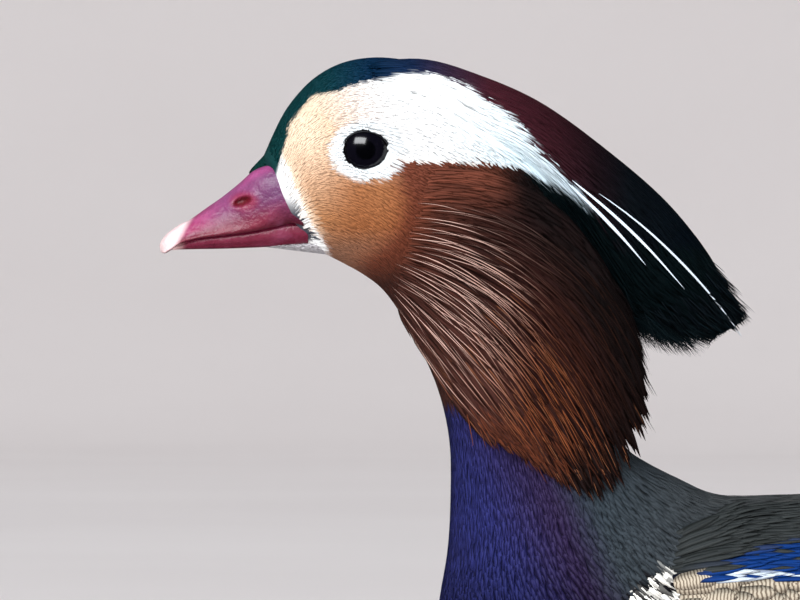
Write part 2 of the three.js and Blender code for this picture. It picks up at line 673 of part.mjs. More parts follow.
function tail() {
  const rings = TAIL_ROOT.map(([x, topZ, lowZ, halfWidth]) =>
    Array.from({ length: 16 }, (_, j) => {
      const angle = (2 * Math.PI * j) / 16;
      const z = (topZ + lowZ) / 2 + ((topZ - lowZ) / 2) * Math.cos(angle);
      return new THREE.Vector3(x, halfWidth * Math.sin(angle), z);
    }),
  );
  const surface = lifted(tailPoint, () => new THREE.Vector3(0, 0, 1));
  const pieces = [loft(rings)];
  for (const hand of [-1, 1])
    for (let k = 0; k < TAIL_FAN.pairs; k++) {
      const across = (hand * (k + 0.45)) / (TAIL_FAN.pairs - 0.4);
      const level = 1.2 - 0.95 * k + (hand > 0 ? 0.45 : 0);
      const run = { from: [0.06, across * 0.7], to: [1, across] };
      const lift = [level, level, level];
      pieces.push(blade(surface, { ...run, half: TAIL_FAN.vane, lift, outline: LONG }));
    }
  for (const { above, length, count, rootZ } of TAIL_COVERTS) {
    const half = (SPREAD * 1.6) / (count - 1);
    const turn = above ? 1 : -1;
    const cover = (u, v) => {
      const start = new THREE.Vector3(COVERT_X, v * 10.5, rootZ - turn * 5 * v ** 2);
      const end = tailPoint(length / TAIL_FAN.length, v);
      const z = start.z + (end.z + turn * 2.4 - start.z) * u ** 1.3;
      return start.lerp(end, u).setZ(z);
    };
    const outside = lifted(cover, () => new THREE.Vector3(0, 0, turn));
    for (let k = 0; k < count; k++) {
      const across = (2 * k) / (count - 1) - 1;
      const end = 1 - 0.12 * across ** 2;
      const run = { from: [0.12, across * 0.8], to: [end, across * 0.8] };
      pieces.push(blade(outside, { ...run, half, lift: [-1, 0.5, 1], outline: BROAD }));
    }
  }
  const front = block(40, 80, 80, TAIL_ROOT[0][0] - 20, 0, 120);
  return clearOfBody(union(pieces)).subtract(front);
}

// Leg: places and radii down it, with y counted outwards.
const LEG = {
  thigh: [4, 25, 74, 15],
  calf: [8, 24, 54, 9.5],
  hock: [16, 22.5, 41, 4.2],
  shank: [9, 22, 22, 2.7],
  ankle: [1, 21.5, 7, 3.4],
};
const SOLE = 4.2;
// How far each foot stands ahead or behind, by side.
const STRIDE = { [-1]: -5, [1]: 5 };

// Round limb through places with a radius each.
function limb(places, side, around = 12, steps = 3) {
  const rings = [];
  const rows = places.map(([x, y, z, r]) => [x, y * side, z, r]);
  const count = (rows.length - 1) * steps;
  for (let k = 0; k <= count; k++) {
    const place = k / steps;
    const [x, y, z, r] = track(rows, place);
    const [nx, ny, nz] = track(rows, Math.min(place + 0.05, rows.length - 1));
    const [px, py, pz] = track(rows, Math.max(place - 0.05, 0));
    const axis = new THREE.Vector3(nx - px, ny - py, nz - pz).normalize();
    const across = new THREE.Vector3(0, 1, 0).cross(axis).normalize();
    const other = axis.clone().cross(across);
    rings.push(
      Array.from({ length: around }, (_, j) => {
        const angle = (2 * Math.PI * j) / around;
        return new THREE.Vector3(x, y, z)
          .addScaledVector(across, r * Math.cos(angle))
          .addScaledVector(other, r * Math.sin(angle));
      }),
    );
  }
  return loft(rings);
}

// A place of the leg, moved along by its share of the stride.
const strideTo = ([x, y, z, r], stride, share, grow = 0) => [x + stride * share, y, z, r + grow];

function thigh(side, stride, grow = 0) {
  const down = [[LEG.thigh, 0], [LEG.calf, 0.3], [LEG.hock, 0.6]];
  return limb(down.map(([place, share]) => strideTo(place, stride, share, grow)), side, 12, 2);
}

const feathered = (side) => {
  const below = block(200, 200, 60, 0, 0, LEG.hock[2] + GAP / 2 - 30);
  return clearOfBody(thigh(side, STRIDE[side])).subtract(below);
};

function shank(side) {
  const stride = STRIDE[side];
  const down = [[LEG.hock, 0.6], [LEG.shank, 0.85], [LEG.ankle, 1]];
  const lower = limb(down.map(([place, share]) => strideTo(place, stride, share)), side, 10, 2);
  const floor = block(200, 200, 40, 0, 0, SOLE + GAP - 20);
  const above = block(200, 200, 60, 0, 0, LEG.hock[2] - GAP / 2 + 30);
  return lower.subtract(floor).subtract(above);
}

// Toes: direction in degrees outwards from straight ahead, and length with the claw.
const TOES = [
  { turn: -24, length: 41 },
  { turn: 3, length: 52 },
  { turn: 30, length: 48 },
];
const HIND_TOE = { turn: 176, length: 13 };
const TOE_RADIUS = 2.3;
// Places along a toe, from ankle to claw tip, and its thickness there as a share of its radius.
const TOE_STEPS = [0, 0.33, 0.62, 0.85, 1];
const TOE_TAPER = [1.25, 1, 0.95, 0.75, 0.12];
const WEB = { reach: 0.8, sag: 0.2, low: -1, high: 1.3 };

function toeEnd(toe, side, share, foot) {
  const angle = THREE.MathUtils.degToRad(toe.turn);
  const reach = toe.length * share;
  return [foot.x - Math.cos(angle) * reach, foot.y + side * Math.sin(angle) * reach];
}

function foot(side, stride) {
  const base = { x: LEG.ankle[0] + stride, y: side * LEG.ankle[1] };
  const heel = [[base.x + 1, LEG.ankle[1], -1, 3.8], [base.x, LEG.ankle[1], SOLE + 1, 3.3]];
  const pieces = [limb(heel, side, 10, 1)];
  for (const toe of [...TOES, HIND_TOE]) {
    const small = toe === HIND_TOE ? 0.7 : 1;
    const rows = TOE_STEPS.map((share, i) => {
      const [x, y] = toeEnd(toe, side, share, base);
      const r = TOE_RADIUS * TOE_TAPER[i] * small;
      return [x, side * y, share === 1 ? 0.5 : r * 0.8, r];
    });
    pieces.push(limb(rows, side, 6, 1));
  }
  for (let k = 0; k + 1 < TOES.length; k++) {
    const at = (a, b, z) => {
      const turn = TOES[k].turn + (TOES[k + 1].turn - TOES[k].turn) * b;
      const length = TOES[k].length + (TOES[k + 1].length - TOES[k].length) * b;
      const share = a * (WEB.reach - WEB.sag * Math.sin(Math.PI * b));
      const [x, y] = toeEnd({ turn, length }, side, share, base);
      return new THREE.Vector3(x, y, z);
    };
    pieces.push(slab(1, 4, (a, b) => at(a, b, WEB.high), (a, b) => at(a, b, WEB.low)));
  }
  const below = block(300, 300, 40, 0, 0, -20);
  const above = block(300, 300, 40, 0, 0, SOLE + 20);
  return union(pieces).subtract(below).subtract(above);
}

const duck = new THREE.Group();
duck.add(
  node("torso", loft(skinRings(0, NECK_BASE, TORSO_STEPS, TORSO_SIDES)), COLOURS.breast),
  node("neck", loft(skinRings(NECK_BASE, NECK_TOP, NECK_STEPS, TORSO_SIDES)), COLOURS.rust),
  node("head", head(), COLOURS.face),
  node("bill_upper", upperBill(), COLOURS.bill),
  node("bill_lower", lowerBill(), COLOURS.bill),
  node("crest", crest(), COLOURS.crest),
  node("tail", tail(), COLOURS.tail),
);
for (const [label, side] of [["left", -1], ["right", 1]])
  duck.add(
    node(`eye_${label}`, eyeball(side), COLOURS.eye),
    node(`ruff_${label}`, ruff(side), COLOURS.rust),
    node(`scapulars_${label}`, scapulars(side), COLOURS.blue),
    node(`wing_${label}`, wing(side), COLOURS.wing),
    node(`flank_${label}`, flank(side), COLOURS.flank),
    node(`thigh_${label}`, feathered(side), COLOURS.leg),
    node(`shank_${label}`, shank(side), COLOURS.leg),
    node(`foot_${label}`, foot(side, STRIDE[side]), COLOURS.leg),
  );

export default duck;
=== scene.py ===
"""Standing drake duck, life size: plumage, bill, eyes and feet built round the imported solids.

Shapes are worked out in millimetres in the row frame: the bill points to -X, the bird's left side faces -Y and the
floor is at z = 0. Meshes are written in metres.
"""

import logging
import math
from collections.abc import Callable
from dataclasses import dataclass, field
from enum import Enum

import bpy
import numpy as np
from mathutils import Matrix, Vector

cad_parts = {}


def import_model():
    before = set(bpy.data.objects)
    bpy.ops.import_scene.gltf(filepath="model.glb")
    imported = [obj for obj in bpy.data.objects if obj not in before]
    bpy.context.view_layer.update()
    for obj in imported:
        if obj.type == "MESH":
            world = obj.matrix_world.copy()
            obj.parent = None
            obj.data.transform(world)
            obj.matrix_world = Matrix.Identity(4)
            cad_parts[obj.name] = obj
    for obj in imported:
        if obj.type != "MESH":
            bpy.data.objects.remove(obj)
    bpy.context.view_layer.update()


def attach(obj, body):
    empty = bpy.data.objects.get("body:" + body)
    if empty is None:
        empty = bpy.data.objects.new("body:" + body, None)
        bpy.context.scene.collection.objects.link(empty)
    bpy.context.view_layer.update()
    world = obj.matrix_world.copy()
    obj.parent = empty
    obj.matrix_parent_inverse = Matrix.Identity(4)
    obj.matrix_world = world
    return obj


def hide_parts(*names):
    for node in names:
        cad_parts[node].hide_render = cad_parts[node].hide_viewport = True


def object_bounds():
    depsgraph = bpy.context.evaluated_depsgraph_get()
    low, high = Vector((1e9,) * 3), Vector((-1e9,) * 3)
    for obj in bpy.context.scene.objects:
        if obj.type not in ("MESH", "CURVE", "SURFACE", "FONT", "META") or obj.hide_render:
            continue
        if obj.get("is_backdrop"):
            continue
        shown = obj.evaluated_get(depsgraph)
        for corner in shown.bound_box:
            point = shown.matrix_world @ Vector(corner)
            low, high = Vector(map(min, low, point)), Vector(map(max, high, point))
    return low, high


Array = np.ndarray
LOG = logging.getLogger("drake")
METRE = 0.001
BODY = "root"
TAU = 2 * math.pi


class Side(Enum):
    """A side of the bird, as the sign of its y."""

    LEFT = -1
    RIGHT = 1

    @property
    def label(self) -> str:
        """Name of the side in piece and node names."""
        return self.name.lower()


def spline(rows: Array, place: Array) -> Array:
    """Smooth curve through rows: each span is a cubic whose end slopes are half the step between its neighbours.

    Args:
        rows: Table of values, one row a knot.
        place: Places along the table, counted in rows.

    Returns:
        The values at those places.
    """
    rows = np.asarray(rows, float)
    at = np.clip(place, 0, len(rows) - 1)
    i = np.minimum(np.floor(at).astype(int), len(rows) - 2)
    t = (at - i)[..., None]
    a, b, c, d = (rows[np.clip(i + k, 0, len(rows) - 1)] for k in (-1, 0, 1, 2))
    return b + 0.5 * t * (c - a + t * (2 * a - 5 * b + 4 * c - d + t * (3 * (b - c) + d - a)))


def curves(rows: Array, place: Array) -> Array:
    """Columns of a table on the smooth curve through its rows, at places counted in rows."""
    return np.moveaxis(spline(rows, place), -1, 0)


def table(*rows: tuple[float, ...] | float) -> Array:
    """Dataclass field that holds a table of numbers."""
    return field(default_factory=lambda: np.array(rows))


def lattice(rows: int, columns: int, along: tuple[float, float] = (0, 1),
            across: tuple[float, float] = (0, 1)) -> tuple[Array, Array]:
    """Grid of evenly spaced u and v, each over its own span."""
    return np.meshgrid(np.linspace(*along, rows), np.linspace(*across, columns), indexing="ij")


def folded(outer: Array, inner: Array) -> Array:
    """Rows of two sheets joined into rings that run out over the first and back over the second."""
    return np.concatenate([outer, inner[:, ::-1]], axis=1)


def off_middle(rings: Array) -> Array:
    """Ways to the points of rings from each ring's middle."""
    return rings - rings.mean(axis=1, keepdims=True)


def unit(vectors: Array) -> Array:
    """Vectors divided by their lengths."""
    return vectors / np.maximum(np.linalg.norm(vectors, axis=-1, keepdims=True), 1e-9)


def dot(a: Array, b: Array) -> Array:
    """Sum of the products of two arrays of vectors."""
    return np.sum(a * b, axis=-1)


def ease(value: Array, low: float, high: float) -> Array:
    """Smooth step from 0 at low to 1 at high: 3t^2 - 2t^3 of the share t."""
    t = np.clip((value - low) / (high - low), 0, 1)
    return t * t * (3 - 2 * t)


def spaced(steps: int) -> Array:
    """Places from 0 to 1 that draw closer towards 1: one less the 1.4th power of what is left."""
    return 1 - (1 - np.linspace(0, 1, steps + 1)) ** 1.4


def blend(a: Array, b: Array, share: Array) -> Array:
    """Colours a towards b by a share for each point."""
    return a + (b - a) * np.asarray(share)[..., None]


def tint(red: float, green: float, blue: float) -> Array:
    """Linear colour of an sRGB one given from 0 to 255."""
    c = np.array([red, green, blue], float) / 255
    return np.where(c <= 0.04045, c / 12.92, ((c + 0.055) / 1.055) ** 2.4)


def stops(value: Array, knots: list[tuple[float, Array]]) -> Array:
    """Colour that runs straight from knot to knot along a value."""
    places = [k for k, _ in knots]
    return np.stack([np.interp(value, places, [c[i] for _, c in knots]) for i in range(3)], axis=-1)


def above(line: list[tuple[float, float]], x: Array, z: Array) -> Array:
    """Distance to a line of the side view, positive above it and negative below.

    Args:
        line: Points (x, z) with x rising.
        x: Points' x.
        z: Points' z.

    Returns:
        The signed distance to the nearest point of the line.
    """
    knots = np.array(line, float)
    best = np.full(np.shape(x), 1e9)
    for (x0, z0), (x1, z1) in zip(knots[:-1], knots[1:]):
        dx, dz = x1 - x0, z1 - z0
        t = np.clip(((x - x0) * dx + (z - z0) * dz) / (dx * dx + dz * dz), 0, 1)
        best = np.minimum(best, np.hypot(x - x0 - t * dx, z - z0 - t * dz))
    return np.where(z > np.interp(x, knots[:, 0], knots[:, 1]), best, -best)


@dataclass
class MeshData:
    """Arrays of one mesh: points, faces, two UV maps and two colour attributes."""

    points: Array
    quads: Array
    triangles: Array
    patch: Array
    vane: Array
    colour: Array
    traits: Array
    flat: Array

    @staticmethod
    def join(parts: list["MeshData"]) -> "MeshData":
        """One mesh of several, with the faces of each counted on from the points before it.

        Args:
            parts: The meshes.

        Returns:
            The joined mesh.
        """
        starts = np.cumsum([0] + [len(p.points) for p in parts[:-1]])
        whole = {k: np.concatenate([getattr(p, k) for p in parts])
                 for k in ("points", "patch", "vane", "colour", "traits", "flat")}
        for kind in ("quads", "triangles"):
            whole[kind] = np.concatenate([getattr(p, kind) + s for p, s in zip(parts, starts)])
        return MeshData(**whole)

    @staticmethod
    def grid(points: Array, colour: Array, gloss: float = 0.0, wrap: bool = False, caps: bool = False,
             loop: bool = False) -> "MeshData":
        """Mesh over a grid of points, with a patch map laid straight over the grid. A closed one faces outwards.

        Args:
            points: Points (rows, columns, 3).
            colour: Colour of each point, or one colour.
            gloss: Gloss trait of the whole grid.
            wrap: Whether the last column joins the first.
            caps: Whether the first and last row are closed by a fan round their middle.
            loop: Whether the last row joins the first.

        Returns:
            The mesh.
        """
        rows, columns = points.shape[:2]
        ids = np.arange(rows * columns).reshape(rows, columns)
        if wrap:
            ids = np.concatenate([ids, ids[:, :1]], axis=1)
        if loop:
            ids = np.concatenate([ids, ids[:1]], axis=0)
        a, b, c, d = ids[:-1, :-1], ids[1:, :-1], ids[1:, 1:], ids[:-1, 1:]
        quads = np.stack([a, b, c, d], axis=-1).reshape(-1, 4)
        u, v = lattice(rows, columns)
        flat = points.reshape(-1, 3)
        colours = np.broadcast_to(colour, points.shape).reshape(-1, 3)
        uv = np.stack([v, u], axis=-1).reshape(-1, 2)
        triangles = np.zeros((0, 3), int)
        if caps:
            ends = []
            for row, turn in ((0, 1), (-1, -1)):
                ring = ids[row]
                middle = len(flat)
                flat = np.concatenate([flat, points[row].mean(axis=0)[None]])
                colours = np.concatenate([colours, colours[ring[:1]]])
                uv = np.concatenate([uv, [[0.5, u[row, 0]]]])
                fan = np.stack([ring[:-1], ring[1:], np.full(len(ring) - 1, middle)], axis=-1)
                ends.append(fan[:, ::turn])
            triangles = np.concatenate(ends)
        traits = np.zeros((len(flat), 4))
        traits[:, 1] = gloss
        made = MeshData(flat, quads, triangles, uv, uv, colours, traits, np.zeros(len(quads), bool))
        return made.turned() if (caps or loop) and made.volume() < 0 else made

    @staticmethod
    def bar(rings: Array, colour: Array, gloss: float = 0.0) -> "MeshData":
        """Mesh over rings of points, closed round and at both ends."""
        return MeshData.grid(rings, colour, gloss, wrap=True, caps=True)

    def volume(self) -> float:
        """Six times the volume: the sum of a . (b x c) over the faces, each quad as two triangles.

        Returns:
            The volume times six, negative if it faces inwards.
        """
        a, b, c, d = (self.points[self.quads[:, i]] for i in range(4))
        e, f, g = (self.points[self.triangles[:, i]] for i in range(3))
        return float(np.sum(dot(a, np.cross(b, c)) + dot(a, np.cross(c, d))) + np.sum(dot(e, np.cross(f, g))))

    def turned(self) -> "MeshData":
        """The same mesh with every face reversed."""
        self.quads, self.triangles = self.quads[:, ::-1], self.triangles[:, ::-1]
        return self

    def build(self, name: str, finish: "Finish", slot: str, replaced: tuple[str, ...] = ()) -> None:
        """Writes the mesh as an object that rides on the frame.

        Args:
            name: Name of the piece.
            finish: Finish that makes its material.
            slot: The record's material slot; not used.
            replaced: CAD nodes that the piece stands for.
        """
        mesh = bpy.data.meshes.new(name)
        loops = np.concatenate([self.quads.ravel(), self.triangles.ravel()]).astype(np.int32)
        sizes = np.concatenate([np.full(len(self.quads), 4), np.full(len(self.triangles), 3)])
        starts = np.concatenate([[0], np.cumsum(sizes)[:-1]]).astype(np.int32)
        mesh.vertices.add(len(self.points))
        mesh.vertices.foreach_set("co", (self.points * METRE).astype(np.float32).ravel())
        mesh.loops.add(len(loops))
        mesh.loops.foreach_set("vertex_index", loops)
        mesh.polygons.add(len(sizes))
        mesh.polygons.foreach_set("loop_start", starts)
        mesh.update(calc_edges=True)
        for layer, uv in (("OFBake", self.patch), ("Vane", self.vane)):
            mesh.uv_layers.new(name=layer).data.foreach_set("uv", uv[loops].astype(np.float32).ravel())
        opaque = np.concatenate([self.colour, np.ones((len(self.colour), 1))], axis=1)
        for layer, values in (("Plumage", opaque), ("Traits", self.traits)):
            attribute = mesh.color_attributes.new(layer, "FLOAT_COLOR", "POINT")
            attribute.data.foreach_set("color", values.astype(np.float32).ravel())
        mesh.polygons.foreach_set("use_smooth", np.concatenate([~self.flat, np.zeros(len(self.triangles), bool)]))
        piece = bpy.data.objects.new(name, mesh)
        bpy.context.scene.collection.objects.link(piece)
        piece.data.materials.append(finish.material())
        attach(piece, BODY)
        if replaced:
            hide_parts(*replaced)
        LOG.info("%s: %d triangles", name, 2 * len(self.quads) + len(self.triangles))


@dataclass
class Surface:
    """A surface sampled on a fine grid, from which feathers grow along rising u."""

    SPREAD = (0.7548776662, 0.5698402910)
    JITTER = 0.6

    points: Array
    normals: Array
    along: Array
    across: Array
    wrap: bool = False

    @staticmethod
    def sample(formula: Callable[[Array, Array], Array], rows: int, columns: int,
               outward: Array | Callable[[Array], Array], wrap: bool = False) -> "Surface":
        """Samples a formula of u and v.

        Args:
            formula: Point of the surface at u and v from 0 to 1.
            rows: Samples along u.
            columns: Samples along v.
            outward: Direction that the normals face, or a function of the points that gives it.
            wrap: Whether v = 1 meets v = 0.

        Returns:
            The surface, with unit normals from the cross product of its two slopes.
        """
        points = formula(*lattice(rows, columns))
        along = np.gradient(points, axis=0) * (rows - 1)
        across = np.gradient(points, axis=1) * (columns - 1)
        if wrap:
            across[:, 0] = across[:, -1] = (points[:, 1] - points[:, -2]) * (columns - 1) / 2
        normals = unit(np.cross(along, across))
        facing = outward(points) if callable(outward) else outward
        normals *= np.where(dot(normals, facing) < 0, -1.0, 1.0)[..., None]
        return Surface(points, normals, along, across, wrap)

    def read(self, grid: Array, u: Array, v: Array) -> Array:
        """Value of a grid at u and v, by straight interpolation in its cell, carried on past its edges.

        Args:
            grid: Values at the surface's samples.
            u: u of the points.
            v: v of the points.

        Returns:
            The values at u and v.
        """
        rows, columns = grid.shape[:2]
        if self.wrap:
            v = np.mod(v, 1)
        a, b = np.clip(u, -0.1, 1.15) * (rows - 1), np.clip(v, -0.1, 1.1) * (columns - 1)
        i = np.clip(np.floor(a).astype(int), 0, rows - 2)
        j = np.clip(np.floor(b).astype(int), 0, columns - 2)
        s, t = (a - i)[..., None], (b - j)[..., None]
        near = grid[i, j] * (1 - s) + grid[i + 1, j] * s
        far = grid[i, j + 1] * (1 - s) + grid[i + 1, j + 1] * s
        return near * (1 - t) + far * t

    def at(self, u: Array, v: Array, lift: Array | float = 0.0) -> Array:
        """Points at u and v, lifted along the normal."""
        normal = unit(self.read(self.normals, u, v))
        return self.read(self.points, u, v) + normal * np.asarray(lift)[..., None]

    def scatter(self, count: int, weight: Callable[[Array, Array, Array], Array],
                rng: np.random.Generator) -> tuple[Array, Array]:
        """Evenly spread roots: a lattice of two irrational steps, stretched by each cell's area times a weight.

        Args:
            count: How many roots.
            weight: Wanted density at u, v and the point there.
            rng: Source of the small jitter.

        Returns:
            u and v of the roots.
        """
        rows, columns = self.points.shape[:2]
        centre = lambda g: (g[:-1, :-1] + g[1:, :-1] + g[1:, 1:] + g[:-1, 1:]) / 4
        u, v = np.meshgrid(*((np.arange(n - 1) + 0.5) / (n - 1) for n in (rows, columns)), indexing="ij")
        area = np.linalg.norm(np.cross(centre(self.along), centre(self.across)), axis=-1)
        density = area * np.maximum(weight(u, v, centre(self.points)), 0) + 1e-12
        line = density.sum(axis=1)
        filled = np.concatenate([[0], np.cumsum(line)]) / line.sum()
        k = np.arange(count)
        first, second = ((0.5 + step * k) % 1 for step in self.SPREAD)
        row = np.clip(np.searchsorted(filled, first, side="right") - 1, 0, rows - 2)
        part = (first - filled[row]) / np.maximum(filled[row + 1] - filled[row], 1e-12)
        steps = (np.cumsum(density, axis=1) / line[:, None] + np.arange(rows - 1)[:, None]).ravel()
        cell = np.clip(np.searchsorted(steps, row + second * 0.999999, side="right"), 0, steps.size - 1)
        column = cell - row * (columns - 1)
        shake = rng.uniform(-0.5, 0.5, (2, count)) * self.JITTER
        down = np.maximum(row + part + shake[0], 0) / (rows - 1)
        return down, (np.clip(column, 0, columns - 2) + 0.5 + shake[1]) / (columns - 1)

    def gathered(self, u: Array, v: Array, locks: int, low: float, high: float) -> tuple[Array, Array]:
        """How feathers draw together in locks.

        Args:
            u: Roots.
            v: Roots.
            locks: Number of locks from v = 0 to 1.
            low: u at which they begin to lean.
            high: u at which they lean in full, by 0.85 of the way to the middle of the lock.

        Returns:
            The lean in millimetres, and the way to the lock's middle from -0.5 to 0.5.
        """
        aside = np.round(v * locks) - v * locks
        return 0.85 * aside / locks * np.linalg.norm(self.read(self.across, u, v), axis=-1) * ease(u, low, high), aside

    def left(self, u: Array, v: Array) -> Array:
        """Length from a root to the last row, from the slope there."""
        return np.linalg.norm(self.read(self.along, u, v), axis=-1) * np.maximum(1 - u, 0.02)

    def trail(self, u: Array, v: Array, heading: Array, bend: Array, length: Array, places: Array,
              rise: Array) -> tuple[Array, Array]:
        """Lines that walk over the surface from station to station.

        Each step goes the heading's angle off rising u, towards rising v, and is turned into steps of u and v by the
        two slopes' dot products.

        Args:
            u: Starts.
            v: Starts.
            heading: Angle off rising u in radians.
            bend: Change of the heading from start to end.
            length: Length of each line.
            places: Stations from 0 to 1.
            rise: Height over the surface at each station (n, stations).

        Returns:
            Points and unit normals at the stations.
        """
        lines, ups = [], []
        for k, place in enumerate(places):
            normal = unit(self.read(self.normals, u, v))
            lines.append(self.read(self.points, u, v) + normal * rise[:, k, None])
            ups.append(normal)
            pu, pv = self.read(self.along, u, v), self.read(self.across, u, v)
            ahead = unit(pu)
            aside = unit(pv - ahead * dot(pv, ahead)[:, None])
            turn = heading + bend * place
            way = ahead * np.cos(turn)[:, None] + aside * np.sin(turn)[:, None]
            uu, uv, vv, wu, wv = dot(pu, pu), dot(pu, pv), dot(pv, pv), dot(way, pu), dot(way, pv)
            step = places[min(k + 1, len(places) - 1)] - place
            scale = length * step / np.maximum(uu * vv - uv * uv, 1e-6)
            u, v = u + (wu * vv - wv * uv) * scale, v + (wv * uu - wu * uv) * scale
        return np.stack(lines, axis=1), np.stack(ups, axis=1)


class Cut(Enum):
    """Outline of a feather: places along it and its share of the full half width there."""

    ROUND = ((0, 0.5), (0.3, 0.95), (0.65, 1.0), (0.85, 0.85), (0.95, 0.55), (1, 0.12))
    BROAD = ((0, 0.35), (0.2, 0.8), (0.75, 1.0), (0.9, 0.85), (0.97, 0.5), (1, 0.1))
    POINT = ((0, 0.6), (0.35, 1.0), (0.7, 0.85), (1, 0.06))
    LANCE = ((0, 0.5), (0.25, 0.9), (0.6, 1.0), (0.85, 0.6), (1, 0.05))
    STRAND = ((0, 0.8), (0.5, 1.0), (0.85, 0.6), (1, 0.08))
    SPINDLE = ((0, 0.1), (0.25, 0.6), (0.55, 1.0), (0.8, 0.6), (1, 0.04))

    def share(self, places: Array) -> Array:
        """Half width at places from 0 at the root to 1 at the tip."""
        return np.interp(places, [p for p, _ in self.value], [w for _, w in self.value])


@dataclass
class Plumes:
    """Feathers as centre lines with widths, each a closed lens with a raised middle.

    PATCH is the size of a feather's own patch on the map OFBake.
    """

    PATCH = 0.003

    line: Array
    up: Array
    half: Array
    root: Array
    places: Array
    ridge: float = 0.35
    across: int = 3
    colour: Array = field(default_factory=lambda: np.zeros(3))
    traits: Array = field(default_factory=lambda: np.zeros(4))

    @staticmethod
    def grow(surface: Surface, root: tuple[Array, Array], length: Array | float, half: Array | float,
             heading: Array | float = 0.0, bend: Array | float = 0.0, cut: Cut = Cut.ROUND, steps: int = 3,
             sink: Array | float = 1.0, lift: Array | float = 0.4, curve: float = 1.0, ridge: float = 0.35,
             across: int = 3) -> "Plumes":
        """Feathers that follow a surface.

        The height over the surface runs from -sink at the root to lift at the tip, as the place along it to the power
        of curve.

        Args:
            surface: What they grow from.
            root: u and v of the roots.
            length: Length.
            half: Greatest half width.
            heading: Angle off rising u.
            bend: Change of that angle along the feather.
            cut: Outline.
            steps: Segments along it.
            sink: Depth of the root.
            lift: Height of the tip.
            curve: Power of the rise.
            ridge: Height of the middle over the edges, as a share of the half width.
            across: Points across the upper face.

        Returns:
            The feathers, not coloured yet.
        """
        u, v = root
        full = lambda value: np.broadcast_to(np.asarray(value, float), u.shape)
        t = spaced(steps)
        rise = -full(sink)[:, None] + (full(sink) + full(lift))[:, None] * t**curve
        line, up = surface.trail(u, v, full(heading), full(bend), full(length), t, rise)
        return Plumes(line, up, full(half)[:, None] * cut.share(t), np.stack([v % 1, u], axis=-1), t, ridge, across)

    def picked(self, kept: Array) -> "Plumes":
        """Some of the feathers."""
        return Plumes(self.line[kept], self.up[kept], self.half[kept], self.root[kept], self.places, self.ridge,
                      self.across, self.colour[kept], self.traits[kept])

    def paint(self, colour: Array, shaft: Array | float = 0.0, gloss: Array | float = 0.0, bars: Array | float = 0.0,
              rng: np.random.Generator | None = None) -> "Plumes":
        """Sets the colours and traits.

        Args:
            colour: Colours (n, 3), (n, stations, 3) or one colour.
            shaft: Strength of the pale shaft.
            gloss: Gloss of the feather.
            bars: Strength of the fine bars.
            rng: Source of each feather's own tone.

        Returns:
            The same feathers.
        """
        shape = self.half.shape

        def spread(value: Array | float) -> Array:
            """A trait at each station, from one number, one a feather or one a station."""
            return np.broadcast_to(value[:, None] if np.ndim(value) == 1 else value, shape)

        self.colour = np.broadcast_to(colour[:, None] if colour.ndim == 2 else colour, (*shape, 3))
        tone = rng.random(shape[0]) if rng is not None else 0.0
        self.traits = np.stack([spread(trait) for trait in (shaft, gloss, bars, tone)], axis=-1)
        return self

    def mesh(self) -> MeshData:
        """The feathers as one mesh.

        A station's points are the centre line plus the side vector times the half width, raised by the ridge times
        one less the square of the place across. The under face spans from edge to edge, and both ends are closed.

        Returns:
            The mesh.
        """
        count, stations = self.half.shape
        wide = self.across
        c = np.linspace(-1, 1, wide)
        ahead = unit(np.gradient(self.line, axis=1))
        aside = unit(np.cross(ahead, self.up))
        over = np.cross(aside, ahead)
        half = self.half[..., None, None]
        points = self.line[:, :, None] + aside[:, :, None] * half * c[:, None]
        points = points + over[:, :, None] * half * (self.ridge * (1 - c**2))[:, None]
        ids = np.arange(count * stations * wide).reshape(count, stations, wide)
        face = lambda *corners: np.stack(corners, axis=-1).reshape(-1, 4)
        top = face(ids[:, :-1, :-1], ids[:, :-1, 1:], ids[:, 1:, 1:], ids[:, 1:, :-1])
        under = face(ids[:, :-1, 0], ids[:, 1:, 0], ids[:, 1:, -1], ids[:, :-1, -1])
        ends = []
        for j in range(1, wide - 1):
            ends.append(np.stack([ids[:, 0, 0], ids[:, 0, j + 1], ids[:, 0, j]], axis=-1))
            ends.append(np.stack([ids[:, -1, 0], ids[:, -1, j], ids[:, -1, j + 1]], axis=-1))
        place = np.stack(np.broadcast_arrays(c[None, :], self.places[:, None]), axis=-1)
        patch = self.root[:, None, None] + (place * [0.5, 1] - [0, 0.5]) * self.PATCH
        vane = np.broadcast_to(place * [0.5, 1] + [0.5, 0], (count, stations, wide, 2))
        spread = lambda values: np.repeat(values[:, :, None], wide, axis=2).reshape(-1, values.shape[-1])
        flat = np.arange(len(top) + len(under)) >= len(top)
        return MeshData(points.reshape(-1, 3), np.concatenate([top, under]), np.concatenate(ends), patch.reshape(-1, 2),
                        vane.reshape(-1, 2), spread(self.colour), spread(self.traits), flat)


